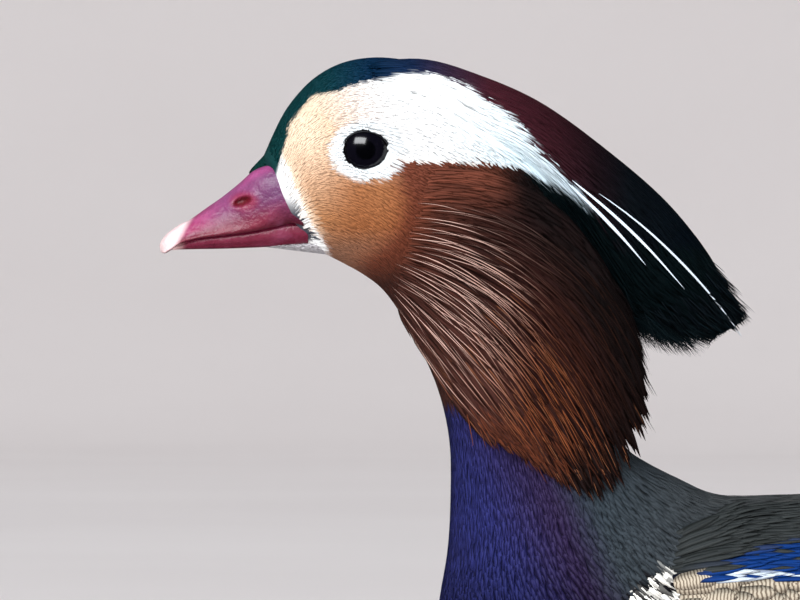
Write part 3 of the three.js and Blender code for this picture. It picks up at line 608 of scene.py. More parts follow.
class Value:
    """A number socket of a shader, which takes part in sums and adds the Math nodes for them."""

    def __init__(self, nodes: "Nodes", socket: bpy.types.NodeSocket) -> None:
        """Wraps a socket of a node set."""
        self.nodes = nodes
        self.socket = socket

    def __add__(self, other: "Value | float") -> "Value":
        """Sum."""
        return self.nodes.math("ADD", self, other)

    __radd__ = __add__

    def __sub__(self, other: "Value | float") -> "Value":
        """Difference."""
        return self.nodes.math("SUBTRACT", self, other)

    def __rsub__(self, other: "Value | float") -> "Value":
        """Reflected difference."""
        return self.nodes.math("SUBTRACT", other, self)

    def __mul__(self, other: "Value | float") -> "Value":
        """Product."""
        return self.nodes.math("MULTIPLY", self, other)

    __rmul__ = __mul__

    def __pow__(self, other: "Value | float") -> "Value":
        """Power."""
        return self.nodes.math("POWER", self, other)

    def __abs__(self) -> "Value":
        """Size without sign."""
        return self.nodes.math("ABSOLUTE", self)

    def sine(self) -> "Value":
        """Sine of radians."""
        return self.nodes.math("SINE", self)

    def step(self, low: float, high: float) -> "Value":
        """Smooth step from 0 at low to 1 at high.

        Args:
            low: Value that gives 0.
            high: Value that gives 1.

        Returns:
            The stepped value.
        """
        ranged = self.nodes.add("ShaderNodeMapRange", {"interpolation_type": "SMOOTHSTEP"},
                                {"Value": self, "From Min": low, "From Max": high})
        return self.nodes.out(ranged, "Result")


class Nodes:
    """The node tree of one material."""

    def __init__(self, name: str) -> None:
        """Makes a material with an output and a main shader.

        Args:
            name: Name of the material.
        """
        self.material = bpy.data.materials.new(name)
        self.material.use_nodes = True
        self.tree = self.material.node_tree
        self.tree.nodes.clear()
        self.shader = self.add("ShaderNodeBsdfPrincipled")
        self.add("ShaderNodeOutputMaterial", None, {"Surface": self.shader.outputs[0]})

    def add(self, kind: str, settings: dict | None = None, inputs: dict | None = None) -> bpy.types.Node:
        """Adds a node.

        Args:
            kind: Node type.
            settings: Properties, set first.
            inputs: Values or links of its sockets by name or number.

        Returns:
            The node.
        """
        node = self.tree.nodes.new(kind)
        for key, value in (settings or {}).items():
            setattr(node, key, value)
        for key, value in (inputs or {}).items():
            self.feed(node.inputs[key], value)
        return node

    def feed(self, socket: bpy.types.NodeSocket, value: object) -> None:
        """Links or sets a socket.

        Args:
            socket: Input of a node.
            value: A value or an output to link, or else what to set.
        """
        if isinstance(value, Value):
            value = value.socket
        if isinstance(value, bpy.types.NodeSocket):
            self.tree.links.new(value, socket)
        else:
            socket.default_value = value

    def out(self, node: bpy.types.Node, socket: str | int = 0) -> Value:
        """An output as a value."""
        return Value(self, node.outputs[socket])

    def math(self, operation: str, *values: "Value | float") -> Value:
        """Result of a Math node."""
        return self.out(self.add("ShaderNodeMath", {"operation": operation}, dict(enumerate(values))))

    def vector(self, x: "Value | float", y: "Value | float", z: "Value | float" = 0.0) -> bpy.types.NodeSocket:
        """A vector of three values."""
        return self.add("ShaderNodeCombineXYZ", None, {"X": x, "Y": y, "Z": z}).outputs[0]

    def noise(self, vector: bpy.types.NodeSocket, scale: float, detail: float = 2.0, roughness: float = 0.5) -> Value:
        """Noise from 0 to 1 at a vector."""
        inputs = {"Vector": vector, "Scale": scale, "Detail": detail, "Roughness": roughness}
        return self.out(self.add("ShaderNodeTexNoise", None, inputs), "Fac")

    def painted(self) -> bpy.types.NodeSocket:
        """The piece's painted colour."""
        return self.add("ShaderNodeAttribute", {"attribute_name": "Plumage"}).outputs["Color"]

    def place(self) -> bpy.types.NodeSocket:
        """Object coordinates."""
        return self.add("ShaderNodeTexCoord").outputs["Object"]

    def scaled(self, colour: bpy.types.NodeSocket, by: Value) -> bpy.types.NodeSocket:
        """Colour times a value."""
        return self.add("ShaderNodeVectorMath", {"operation": "SCALE"}, {0: colour, "Scale": by}).outputs[0]

    def mixed(self, share: "Value | float", first: object, second: object) -> bpy.types.NodeSocket:
        """First colour towards the second by a share."""
        return self.add("ShaderNodeMix", {"data_type": "RGBA"}, {0: share, 6: first, 7: second}).outputs[2]

    def bump(self, height: Value, strength: float, distance: float) -> bpy.types.NodeSocket:
        """Normal that a height in metres gives."""
        made = self.add("ShaderNodeBump", None, {"Height": height, "Strength": strength, "Distance": distance})
        return made.outputs["Normal"]

    def finish(self, **sockets: object) -> bpy.types.Material:
        """Feeds the main shader, with _ for a space in a socket's name, and gives the material.

        Returns:
            The material.
        """
        for key, value in sockets.items():
            self.feed(self.shader.inputs[key.replace("_", " ")], value)
        return self.material


def rgba(colour: Array) -> tuple[float, float, float, float]:
    """Linear colour with full alpha."""
    return (*map(float, colour), 1.0)


class Finish:
    """Makes a material once and hands it out to every piece that wants it."""

    name = "finish"

    def material(self) -> bpy.types.Material:
        """The finish's material."""
        return bpy.data.materials.get(self.name) or self.make()

    def make(self) -> bpy.types.Material:
        """Makes the material."""
        raise NotImplementedError


@dataclass(frozen=True)
class PlumageFinish(Finish):
    """Feathers: painted colour, hair-fine streaks along each, a pale shaft, and fine bars where the trait asks."""

    name: str = "plumage"
    shaft: tuple[float, float, float] = (0.8, 0.62, 0.45)
    shaft_width: float = 0.2
    bar: tuple[float, float, float] = (0.05, 0.03, 0.02)
    bar_count: float = 26.0
    rough: float = 0.7
    glossy: float = 0.3
    streaks: float = 0.3
    streak_count: float = 7.0
    specular: float = 0.1
    relief: float = 0.3

    def make(self) -> bpy.types.Material:
        """Streaks are noise stretched along the vane, and bars are a wave along it that noise bends. Each feather's own
        tone takes it to its own part of the noise.

        Returns:
            The material.
        """
        n = Nodes(self.name)
        traits = n.add("ShaderNodeAttribute", {"attribute_name": "Traits"})
        parts = n.add("ShaderNodeSeparateColor", None, {"Color": traits.outputs["Color"]})
        shaft, gloss, bars, tone = n.out(parts, 0), n.out(parts, 1), n.out(parts, 2), n.out(traits, "Alpha")
        vane = n.add("ShaderNodeSeparateXYZ", None, {0: n.add("ShaderNodeUVMap", {"uv_map": "Vane"}).outputs[0]})
        across, along = n.out(vane, 0), n.out(vane, 1)
        streak = n.noise(n.vector(across * self.streak_count + tone * 53.0, along * 1.6, tone * 91.0), 1.0, 3.0, 0.6)
        base = n.scaled(n.painted(), (1 - self.streaks) + streak * (2 * self.streaks) + (tone - 0.5) * 0.12)
        wave = n.noise(n.vector(across * 2.4, along * 3.0, tone * 67.0), 1.0)
        line = ((along * self.bar_count + wave * 2.6) * math.pi).sine()
        base = n.mixed(line.step(-0.1, 0.55) * bars, base, (*self.bar, 1.0))
        middle = abs(across * 2.0 - 1.0)
        base = n.mixed(shaft * (1 - middle.step(self.shaft_width * 0.4, self.shaft_width)), base, (*self.shaft, 1.0))
        return n.finish(Base_Color=base, Roughness=self.rough - gloss * self.glossy + streak * 0.1 - 0.05,
                        Metallic=gloss * 0.2, Normal=n.bump(streak, self.relief, 0.0002),
                        Specular_IOR_Level=self.specular)


@dataclass(frozen=True)
class DownFinish(Finish):
    """The skin under the plumage: the same markings, a little darker as painted shade under the feathers, with a soft
    mottle.
    """

    name: str = "down"
    shade: float = 0.9

    def make(self) -> bpy.types.Material:
        """Painted colour times a mottle of noise.

        Returns:
            The material.
        """
        n = Nodes(self.name)
        mottle = n.noise(n.place(), 900.0, 4.0)
        # painted shade: the colour is multiplied by shade to darken the skin seen between the feathers
        base = n.scaled(n.painted(), self.shade * 0.75 + mottle * (self.shade * 0.5))
        return n.finish(Base_Color=base, Roughness=0.75 + mottle * 0.15, Normal=n.bump(mottle, 0.2, 0.0002),
                        Specular_IOR_Level=0.15)


@dataclass(frozen=True)
class HornFinish(Finish):
    """Bill and claws: waxy painted horn with a fine grain."""

    name: str = "horn"
    rough: float = 0.42
    grain: float = 900.0
    relief: float = 0.3
    coat: float = 0.15
    bloom: float = 0.0
    pale: tuple[float, float, float] = (0.55, 0.2, 0.42)

    def make(self) -> bpy.types.Material:
        """Painted colour with broad and fine mottling, and a pale bloom in the broad patches.

        Returns:
            The material.
        """
        n = Nodes(self.name)
        broad, fine = n.noise(n.place(), 170.0, 4.0), n.noise(n.place(), self.grain, 3.0)
        base = n.scaled(n.painted(), 0.66 + broad * 0.45 + fine * 0.22)
        base = n.mixed(broad.step(0.52, 0.72) * self.bloom, base, (*self.pale, 1.0))
        return n.finish(Base_Color=base, Roughness=self.rough + fine * 0.2 + broad * 0.14 - 0.12,
                        Normal=n.bump(fine + broad * 2.5, self.relief, 0.0012),
                        Coat_Weight=self.coat, Coat_Roughness=0.22,
                        Subsurface_Weight=0.06, Subsurface_Radius=(0.002, 0.0008, 0.0006), Subsurface_Scale=1.0)


@dataclass(frozen=True)
class LegFinish(Finish):
    """Scaly leather of legs, toes and webs."""

    name: str = "leg_leather"
    scales: float = 900.0

    def make(self) -> bpy.types.Material:
        """Painted colour, darkened in the joints between small scales, which are the cells round scattered points.

        Returns:
            The material.
        """
        n = Nodes(self.name)
        inputs = {"Vector": n.place(), "Scale": self.scales}
        cells = n.add("ShaderNodeTexVoronoi", {"feature": "DISTANCE_TO_EDGE"}, inputs)
        joint, mottle = n.out(cells, "Distance").step(0.0, 0.12), n.noise(n.place(), 260.0, 4.0)
        base = n.scaled(n.painted(), (0.62 + joint * 0.3) * (0.8 + mottle * 0.4))
        return n.finish(Base_Color=base, Roughness=0.58 - joint * 0.12 + mottle * 0.1,
                        Normal=n.bump(joint + mottle, 0.3, 0.0002))


@dataclass(frozen=True)
class EyeFinish(Finish):
    """The wet ball of the eye: a black pupil in a deep brown ring."""

    name: str = "eye_ball"
    centre: tuple[float, float] = (-0.1425, 0.2419)
    pupil: float = 0.0024
    rim: float = 0.0052

    def make(self) -> bpy.types.Material:
        """The distance from the eye's axis in the side view picks pupil, iris or rim.

        Returns:
            The material.
        """
        n = Nodes(self.name)
        place = n.add("ShaderNodeSeparateXYZ", None, {0: n.place()})
        x, z = n.out(place, 0) - self.centre[0], n.out(place, 2) - self.centre[1]
        out = (x * x + z * z) ** 0.5
        rays = n.noise(n.vector(x * 90.0, z * 90.0, out * 9.0), 6.0, 3.0)
        iris = n.mixed(rays, rgba(tint(5, 5, 12)), rgba(tint(11, 9, 16)))
        base = n.mixed(out.step(self.pupil * 0.93, self.pupil * 1.05), rgba(tint(2, 2, 4)), iris)
        base = n.mixed(out.step(self.rim * 0.8, self.rim), base, rgba(tint(8, 7, 8)))
        return n.finish(Base_Color=base, Roughness=0.11 + rays * 0.04, Specular_IOR_Level=0.4)


@dataclass(frozen=True)
class FloorFinish(Finish):
    """Plain pale floor with a hardly visible mottle."""

    name: str = "pale_floor"

    def make(self) -> bpy.types.Material:
        """Pale grey with slow noise.

        Returns:
            The material.
        """
        n = Nodes(self.name)
        slow = n.noise(n.place(), 1.4, 3.0)
        base = n.mixed(slow, rgba(tint(233, 225, 222)), rgba(tint(240, 233, 230)))
        return n.finish(Base_Color=base, Roughness=0.85 + slow * 0.1)


@dataclass
class BodyForm:
    """The smooth form of head, neck and torso: upright slices from tail root to bill root.

    A slice holds where it meets the back line and the belly line, its half width, and how far below its middle the
    widest level lies, as a share of its half height.
    """

    slices: Array = table(
        (122, 130, 124, 113, 12, 0), (104, 137, 108, 99, 23, 0), (78, 146, 84, 82, 34, 0),
        (46, 153.5, 50, 66, 43.5, 0.02), (12, 157.5, 14, 57, 49.5, 0.05),
        (-20, 158.5, -22, 54, 52.5, 0.06), (-44, 158, -58, 57, 52, 0.05),
        (-54, 157.6, -90, 67, 49.5, 0.03), (-60, 159, -112, 84, 45, 0), (-65, 161.4, -123, 106, 39, -0.02),
        (-70, 163.8, -125, 127, 33, 0), (-74.5, 166.2, -122.5, 145, 27.5, 0), (-79.5, 170, -121.8, 160, 22.5, 0),
        (-83.5, 179, -122.2, 172, 19, 0), (-85, 191, -124.8, 183.5, 17.2, 0), (-85.5, 203, -129.3, 194, 16.8, 0),
        (-86.5, 215, -133.5, 201.5, 17, 0.02), (-90, 228, -138.3, 208.1, 17.6, 0.06), (-97, 241, -143, 211.8, 18, 0.1),
        (-108, 252, -147.6, 214.4, 18, 0.14), (-121, 259.8, -150.7, 216, 17.4, 0.16),
        (-134, 264.3, -152.8, 217, 16.4, 0.16), (-145.5, 264.2, -154.3, 217.6, 15, 0.14),
        (-154.5, 260.2, -155.5, 218, 13.3, 0.12),
        (-161.5, 252.8, -156.5, 218.3, 11.4, 0.1), (-166, 244.2, -157.3, 218.6, 9.8, 0.06),
        (-169, 237.5, -158, 219, 8.7, 0))
    fullness: float = 0.92
    neck_base: float = 11.4
    neck_top: float = 16.2
    rows: int = 520
    columns: int = 241

    @property
    def last(self) -> int:
        """Place of the slice at the bill root."""
        return len(self.slices) - 1

    def slice_at(self, place: Array) -> tuple[Array, ...]:
        """Middle x and z, upward x and z, half height, half width and sag of slices.

        Args:
            place: Places counted in slices.

        Returns:
            Those seven columns.
        """
        back_x, back_z, low_x, low_z, width, sag = curves(self.slices, place)
        half = np.hypot(back_x - low_x, back_z - low_z) / 2
        return ((back_x + low_x) / 2, (back_z + low_z) / 2, (back_x - low_x) / (2 * half),
                (back_z - low_z) / (2 * half), half, width, sag)

    def point(self, place: Array, angle: Array, grow: Array | float = 0.0) -> Array:
        """Point of a slice: its middle, plus the half height times cosine less sag times sine squared up it, and the
        half width times the sine to the power of the fullness across it.

        Args:
            place: Places counted in slices.
            angle: Angle round the slice from the back line.
            grow: How far outside the form.

        Returns:
            The points.
        """
        x, z, up_x, up_z, half, width, sag = self.slice_at(place)
        level = (half + grow) * (np.cos(angle) - sag * np.sin(angle) ** 2)
        across = (width + grow) * np.sign(np.sin(angle)) * np.abs(np.sin(angle)) ** self.fullness
        return np.stack([x + up_x * level, across, z + up_z * level], axis=-1)

    def width_at(self, x: Array, z: Array, low: float = 0.0, high: float | None = None) -> Array:
        """Half width of the form at points of the side view.

        The slice through a point is found by halving the range of slices 20 times. There the height turns back into
        the angle's cosine, the root of the quadratic level = c - sag (1 - c^2).

        Args:
            x: Points' x.
            z: Points' z.
            low: First slice looked at.
            high: Last slice looked at, or None for the bill root.

        Returns:
            The half width, or 0 outside the form.
        """
        x, z = np.broadcast_arrays(np.asarray(x, float), np.asarray(z, float))
        bottom, top = np.full(x.shape, low), np.full(x.shape, self.last if high is None else high, float)
        for _ in range(20):
            middle = (bottom + top) / 2
            cx, cz, up_x, up_z, *_ = self.slice_at(middle)
            ahead = up_x * (z - cz) - up_z * (x - cx) > 0
            bottom, top = np.where(ahead, middle, bottom), np.where(ahead, top, middle)
        cx, cz, up_x, up_z, half, width, sag = self.slice_at((bottom + top) / 2)
        level = (up_x * (x - cx) + up_z * (z - cz)) / half
        sags = np.abs(sag) > 1e-6
        cosine = (np.sqrt(np.maximum(1 + 4 * sag * (sag + level), 0)) - 1) / (2 * np.where(sags, sag, 1))
        cosine = np.where(sags, cosine, level)
        return np.where(np.abs(level) < 1, width * (1 - np.minimum(cosine**2, 1)) ** (self.fullness / 2), 0)

    def surface(self) -> Surface:
        """The form as a surface, with u from bill root to tail root and v round it from the back line, right side
        first."""
        formula = lambda u, v: self.point((1 - u) * self.last, v * TAU)
        return Surface.sample(formula, self.rows, self.columns, off_middle, wrap=True)

    def share(self, place: float) -> float:
        """u of a slice on the form's surface."""
        return 1 - place / self.last


@dataclass(frozen=True)
class Eye:
    """Size and place of the eyes."""

    x: float = -142.5
    y: float = 11.45
    z: float = 241.9
    half_length: float = 6.8
    half_depth: float = 5.2
    opening: tuple[float, float] = (5.4, 4.3)
    lid: tuple[float, float] = (5.95, 4.8)
    ring: tuple[float, float] = (9.9, 8.0)

    def out(self, x: Array, z: Array, size: tuple[float, float]) -> Array:
        """Distance from the eye's axis as a share of an oval of two half sizes."""
        return np.hypot((x - self.x) / size[0], (z - self.z) / size[1])


class Markings:
    """Colours of the plumage by place in the side view."""

    EYE = Eye()
    CHEEK = (-147, 229)
    CAP_EDGE = [(-167, 226), (-163.7, 237.8), (-160.6, 249.2), (-155.4, 255.4), (-151.8, 256), (-149, 256.4),
                (-144, 258.3), (-139, 259), (-134, 260.6), (-128.8, 260.7), (-124.4, 260), (-119.6, 258.3),
                (-114.7, 254.8), (-109.8, 252.1), (-105, 247.6), (-100, 241.2), (-94.9, 236.3), (-90.5, 231.9),
                (-87, 227), (-80, 218)]
    BROW_EDGE = [(-160, 256), (-152, 250), (-145, 242), (-131.3, 238.3), (-120.3, 238), (-110, 237.5), (-102.7, 236.1),
                 (-96.1, 232.7), (-90.5, 229.7), (-87, 227), (-80, 219)]
    CREST_EDGE = [(-106, 238), (-103.5, 236.1), (-96.9, 228.5), (-89.8, 220.5), (-87.1, 211.7), (-83.2, 204.1),
                  (-80, 200.2), (-76, 192)]
    RUFF_EDGE = [(-126, 178.5), (-122.5, 178.5), (-116.4, 176.8), (-111, 174.1), (-104.4, 166.5), (-94.2, 160.9),
                 (-85.9, 159.5), (-77, 161)]
    BILL_EDGE = [(-154.8, 218), (-156.6, 220.7), (-159.1, 224.1), (-161, 228.5), (-162.7, 232.4), (-164.5, 237.8),
                 (-166.5, 241)]
    BREAST_BAR = [(-80, 60), (-86, 74), (-91, 92), (-89, 112), (-80.5, 132), (-72, 139)]

    WHITE = tint(247, 250, 250)
    CREAM = tint(238, 212, 184)
    BUFF = tint(204, 164, 132)
    TAN = tint(168, 118, 78)
    ORANGE = tint(146, 90, 54)
    CHIN = tint(132, 92, 70)
    LORE = tint(26, 30, 48)
    RING = tint(226, 232, 234)
    BLACK_GREEN = tint(3, 14, 17)
    INDIGO = tint(38, 42, 102)
    PURPLE = tint(44, 32, 66)
    BRONZE = tint(60, 62, 62)
    GREY_GREEN = tint(44, 54, 62)
    BELLY = tint(236, 234, 226)
    BLACK = tint(12, 11, 16)
    GOLD = tint(196, 158, 102)
    CAP = [(-172, tint(6, 56, 52)), (-152, tint(6, 54, 62)), (-141, tint(4, 40, 70)), (-131, tint(12, 34, 68)),
           (-123, tint(50, 36, 58)), (-112, tint(68, 26, 36)), (-97, tint(52, 20, 28)), (-87, tint(28, 14, 20)),
           (-79, tint(8, 14, 20)), (-64, tint(3, 12, 20))]
    RUFF = [(0, tint(176, 118, 76)), (9, tint(156, 90, 54)), (15, tint(110, 56, 37)), (22, tint(68, 34, 25)),
            (34, tint(46, 22, 17)), (56, tint(46, 19, 14)), (72, tint(40, 16, 12)), (86, tint(20, 9, 8))]

    @classmethod
    def cap(cls, points: Array) -> Array:
        """Colour of the cap and crest, by the distance from the bill."""
        return stops(points[..., 0], cls.CAP)

    @classmethod
    def off_cheek(cls, x: Array, z: Array) -> Array:
        """Distance from the middle of the cheek in the side view."""
        return np.hypot(x - cls.CHEEK[0], z - cls.CHEEK[1])

    @classmethod
    def behind(cls, edge: list[tuple[float, float]], x: Array, z: Array) -> Array:
        """Distance behind an upright edge of points (x, z), level with each point."""
        return x - np.interp(z, [p[1] for p in edge], [p[0] for p in edge])

    @classmethod
    def ruff(cls, points: Array) -> Array:
        """Colour of the cheek hackles: rings round the cheek, darker up and behind, redder down the throat.

        Args:
            points: The points.

        Returns:
            The colours.
        """
        x, z = points[..., 0], points[..., 2]
        colour = stops(cls.off_cheek(x, z), cls.RUFF)
        top = (1 - ease(x, -112, -96)) * ease(z, 224, 236)
        colour = blend(colour, tint(112, 60, 44), 0.7 * top)
        colour = blend(colour, tint(34, 14, 12), 0.8 * ease(x, -116, -96) * ease(z, 200, 224))
        colour = blend(colour, tint(12, 8, 9), 0.9 * ease(above(cls.CREST_EDGE, x, z), -15, -2) * ease(x, -114, -102))
        throat = ease(-x - 0.45 * (z - 200), 108, 120) * ease(-z, -214, -200)
        return blend(colour, tint(70, 38, 31), 0.75 * throat)

    @classmethod
    def face(cls, points: Array) -> Array:
        """Colour of the face: cream over buff, tan and orange downwards, white and a dark line by the bill, and a white
        brow.

        Args:
            points: The points.

        Returns:
            The colours.
        """
        x, z = points[..., 0], points[..., 2]
        low = (z - 218) / 32
        front = stops(low, [(0.0, cls.CHIN), (0.22, cls.TAN), (0.52, cls.BUFF), (0.85, cls.CREAM), (1.1, cls.CREAM)])
        rear = stops(low, [(0.0, cls.CHIN), (0.15, cls.ORANGE), (0.45, tint(160, 104, 66)), (0.75, cls.BUFF)])
        colour = blend(front, rear, ease(x, -157, -143))
        gap = cls.behind(cls.BILL_EDGE, x, z)
        colour = blend(colour, cls.CREAM, 0.8 * (1 - ease(gap, 3.6, 7.0)) * ease(z, 219, 225))
        colour = blend(colour, cls.WHITE, 0.95 * (1 - ease(gap, 2.6, 4.4)))
        start = 2.0 + 0.5 * (1 - ease(z, 224, 227))
        lore = 0.95 * (1 - ease(gap, start, 3.0)) * (1 - ease(z, 226, 233)) * ease(z, 219.6, 220.4)
        colour = blend(colour, cls.LORE, lore)
        # painted shade: the white under the root of the bill is painted grey
        colour = blend(colour, tint(190, 188, 190), (1 - ease(z, 217.6, 219.4)) * (1 - ease(x, -156, -151)))
        brow = ease(above(cls.BROW_EDGE, x, z), -0.6, 1.2) * ease(x + 0.3 * (z - 240), -154, -128)
        return blend(colour, cls.brow(x), brow)

    @classmethod
    def brow(cls, x: Array) -> Array:
        """White of the brow, with painted shade that turns it grey-blue towards its rear end."""
        # painted shade: the brow's white turns blue-grey towards the rear
        return stops(x, [(-124, cls.WHITE), (-106, tint(214, 230, 236)), (-90, tint(196, 216, 228))])

    @classmethod
    def head(cls, points: Array) -> tuple[Array, Array]:
        """Colour and gloss anywhere on the head and upper neck.

        Args:
            points: The points.

        Returns:
            The colours, and the gloss.
        """
        x, z = points[..., 0], points[..., 2]
        over_brow = above(cls.BROW_EDGE, x, z)
        behind = ease(x, -131.5, -128.5) * (over_brow < 0.4)
        blended = ease(cls.off_cheek(x, z), 9, 17) * (over_brow < 0.4) * ease(x, -149, -140)
        colour = blend(cls.face(points), cls.ruff(points), np.maximum(behind, blended))
        colour = blend(colour, cls.RING, 1 - ease(cls.EYE.out(x - 1.0, z + 0.3, cls.EYE.ring), 0.86, 1.04))
        crest = (above(cls.CREST_EDGE, x, z) > 0) & (x > -106)
        colour = np.where((crest & (over_brow < 0))[..., None], cls.BLACK_GREEN, colour)
        cap = ease(above(cls.CAP_EDGE, x, z), -0.5, 0.5)
        return blend(colour, cls.cap(points), cap), np.maximum(cap * 0.8, 0.6 * crest)

    @classmethod
    def body(cls, points: Array) -> tuple[Array, Array]:
        """Colour and gloss of neck and torso: a purple breast ruled off by two white bars from the golden side, the
        white belly and the bronze back.

        Args:
            points: The points.

        Returns:
            The colours, and the gloss.
        """
        x, y, z = np.moveaxis(points, -1, 0)
        front = x + 0.42 * (z - 132)
        # painted shade: the breast's purple darkens towards its bottom
        purple = blend(cls.INDIGO, cls.PURPLE, ease(front, -108, -86)) * (0.6 + 0.4 * ease(z, 128, 152))[..., None]
        purple = purple * (1 - 0.5 * (1 - ease(np.abs(y), 0, 10)) * ease(-x, 108, 116) * ease(z, 120, 150))[..., None]
        back = stops(x, [(-90, cls.GREY_GREEN), (-40, cls.BRONZE), (50, tint(70, 66, 54)), (90, tint(38, 44, 40)),
                         (124, tint(34, 40, 36))])
        low = stops(x, [(-90, cls.BELLY), (60, cls.BELLY), (124, tint(226, 224, 216))])
        shoulder = ease(front, -88, -76)
        colour = blend(purple, back, shoulder * ease(z, 127, 137))
        side = (1 - ease(z, 132, 140)) * ease(x, -70, -62) * ease(np.abs(y) + 0.4 * (90 - x), 20, 36)
        colour = blend(colour, cls.GOLD, side)
        belly = (1 - ease(z, 74, 88)) * ease(x, -104, -90)
        colour = blend(colour, low, np.maximum(belly, ease(x, 70, 92) * (1 - ease(z, 112, 120))))
        rump = ease(x, 64, 84) * ease(z, 112, 122) * (1 - ease(z, 128, 136))
        colour = blend(colour, tint(150, 86, 46), 0.8 * rump)
        bar = cls.behind(cls.BREAST_BAR, x, z)
        inside = ease(z, 66, 76) * (1 - ease(z, 138, 142))
        dark = ease(bar, -2.6, -1.6) * (1 - ease(bar, 14.5, 16))
        white = ease(bar, 0, 0.8) * (1 - ease(bar, 4.4, 5.2)) + ease(bar, 7.6, 8.4) * (1 - ease(bar, 11.6, 12.4))
        colour = blend(blend(colour, cls.BLACK, dark * inside), cls.BELLY, white * inside)
        nape = ease(x + 0.8 * (z - 160), -88, -82) * (1 - ease(z, 172, 182))
        rust = ease(above(cls.RUFF_EDGE, x, z), -0.5, 0.8) * (z > 158) * (1 - nape)
        gloss = 0.55 * (1 - shoulder) * (1 - rust) * (1 - white * inside)
        return blend(colour, cls.ruff(points), rust), gloss

    @classmethod
    def any(cls, points: Array) -> tuple[Array, Array]:
        """Colour and gloss anywhere, the head's above the ruff's middle and the body's below.

        Args:
            points: The points.

        Returns:
            The colours, and the gloss.
        """
        share = ease(points[..., 2], 206, 208)
        head, body = cls.head(points), cls.body(points)
        return blend(body[0], head[0], share), body[1] + (head[1] - body[1]) * share


@dataclass
class Skin:
    """The one skin under head, neck and torso, inside their solids by the plumage's depth."""

    form: BodyForm
    rows: int = 260
    columns: int = 100
    head_depth: float = 0.1
    neck_depth: float = 0.25
    body_depth: float = 0.5
    bill_depth: float = 2.4
    socket_depth: float = 3.4

    def build(self) -> None:
        """The form drawn in by the depth, more so under the bill, with a dimple round each eye."""
        eye = Markings.EYE
        place = np.linspace(self.form.last, 0, self.rows)[:, None]
        angle = (np.arange(self.columns) * TAU / self.columns)[None]
        depth = np.interp(place, [0, self.form.neck_base, self.form.neck_top + 2],
                          [self.body_depth, self.neck_depth, self.head_depth])
        points = self.form.point(place, angle, -depth)
        behind = Markings.behind(Markings.BILL_EDGE, points[..., 0], points[..., 2])
        depth = depth + self.bill_depth * (1 - ease(behind, -1.6, -0.2)) * (1 - ease(points[..., 2], 238, 241))
        points = self.form.point(place, angle, -depth)
        dimple = 1 - ease(eye.out(points[..., 0], points[..., 2], eye.lid), 0.75, 1.05)
        points[..., 1] -= np.sign(points[..., 1]) * dimple * self.socket_depth
        colour, _ = Markings.any(points)
        data = MeshData.bar(points, colour)
        data.patch = data.patch * [0.98, 1] + [0.01, 0]
        data.build("skin", DownFinish(), "breast", ("torso", "neck", "head"))


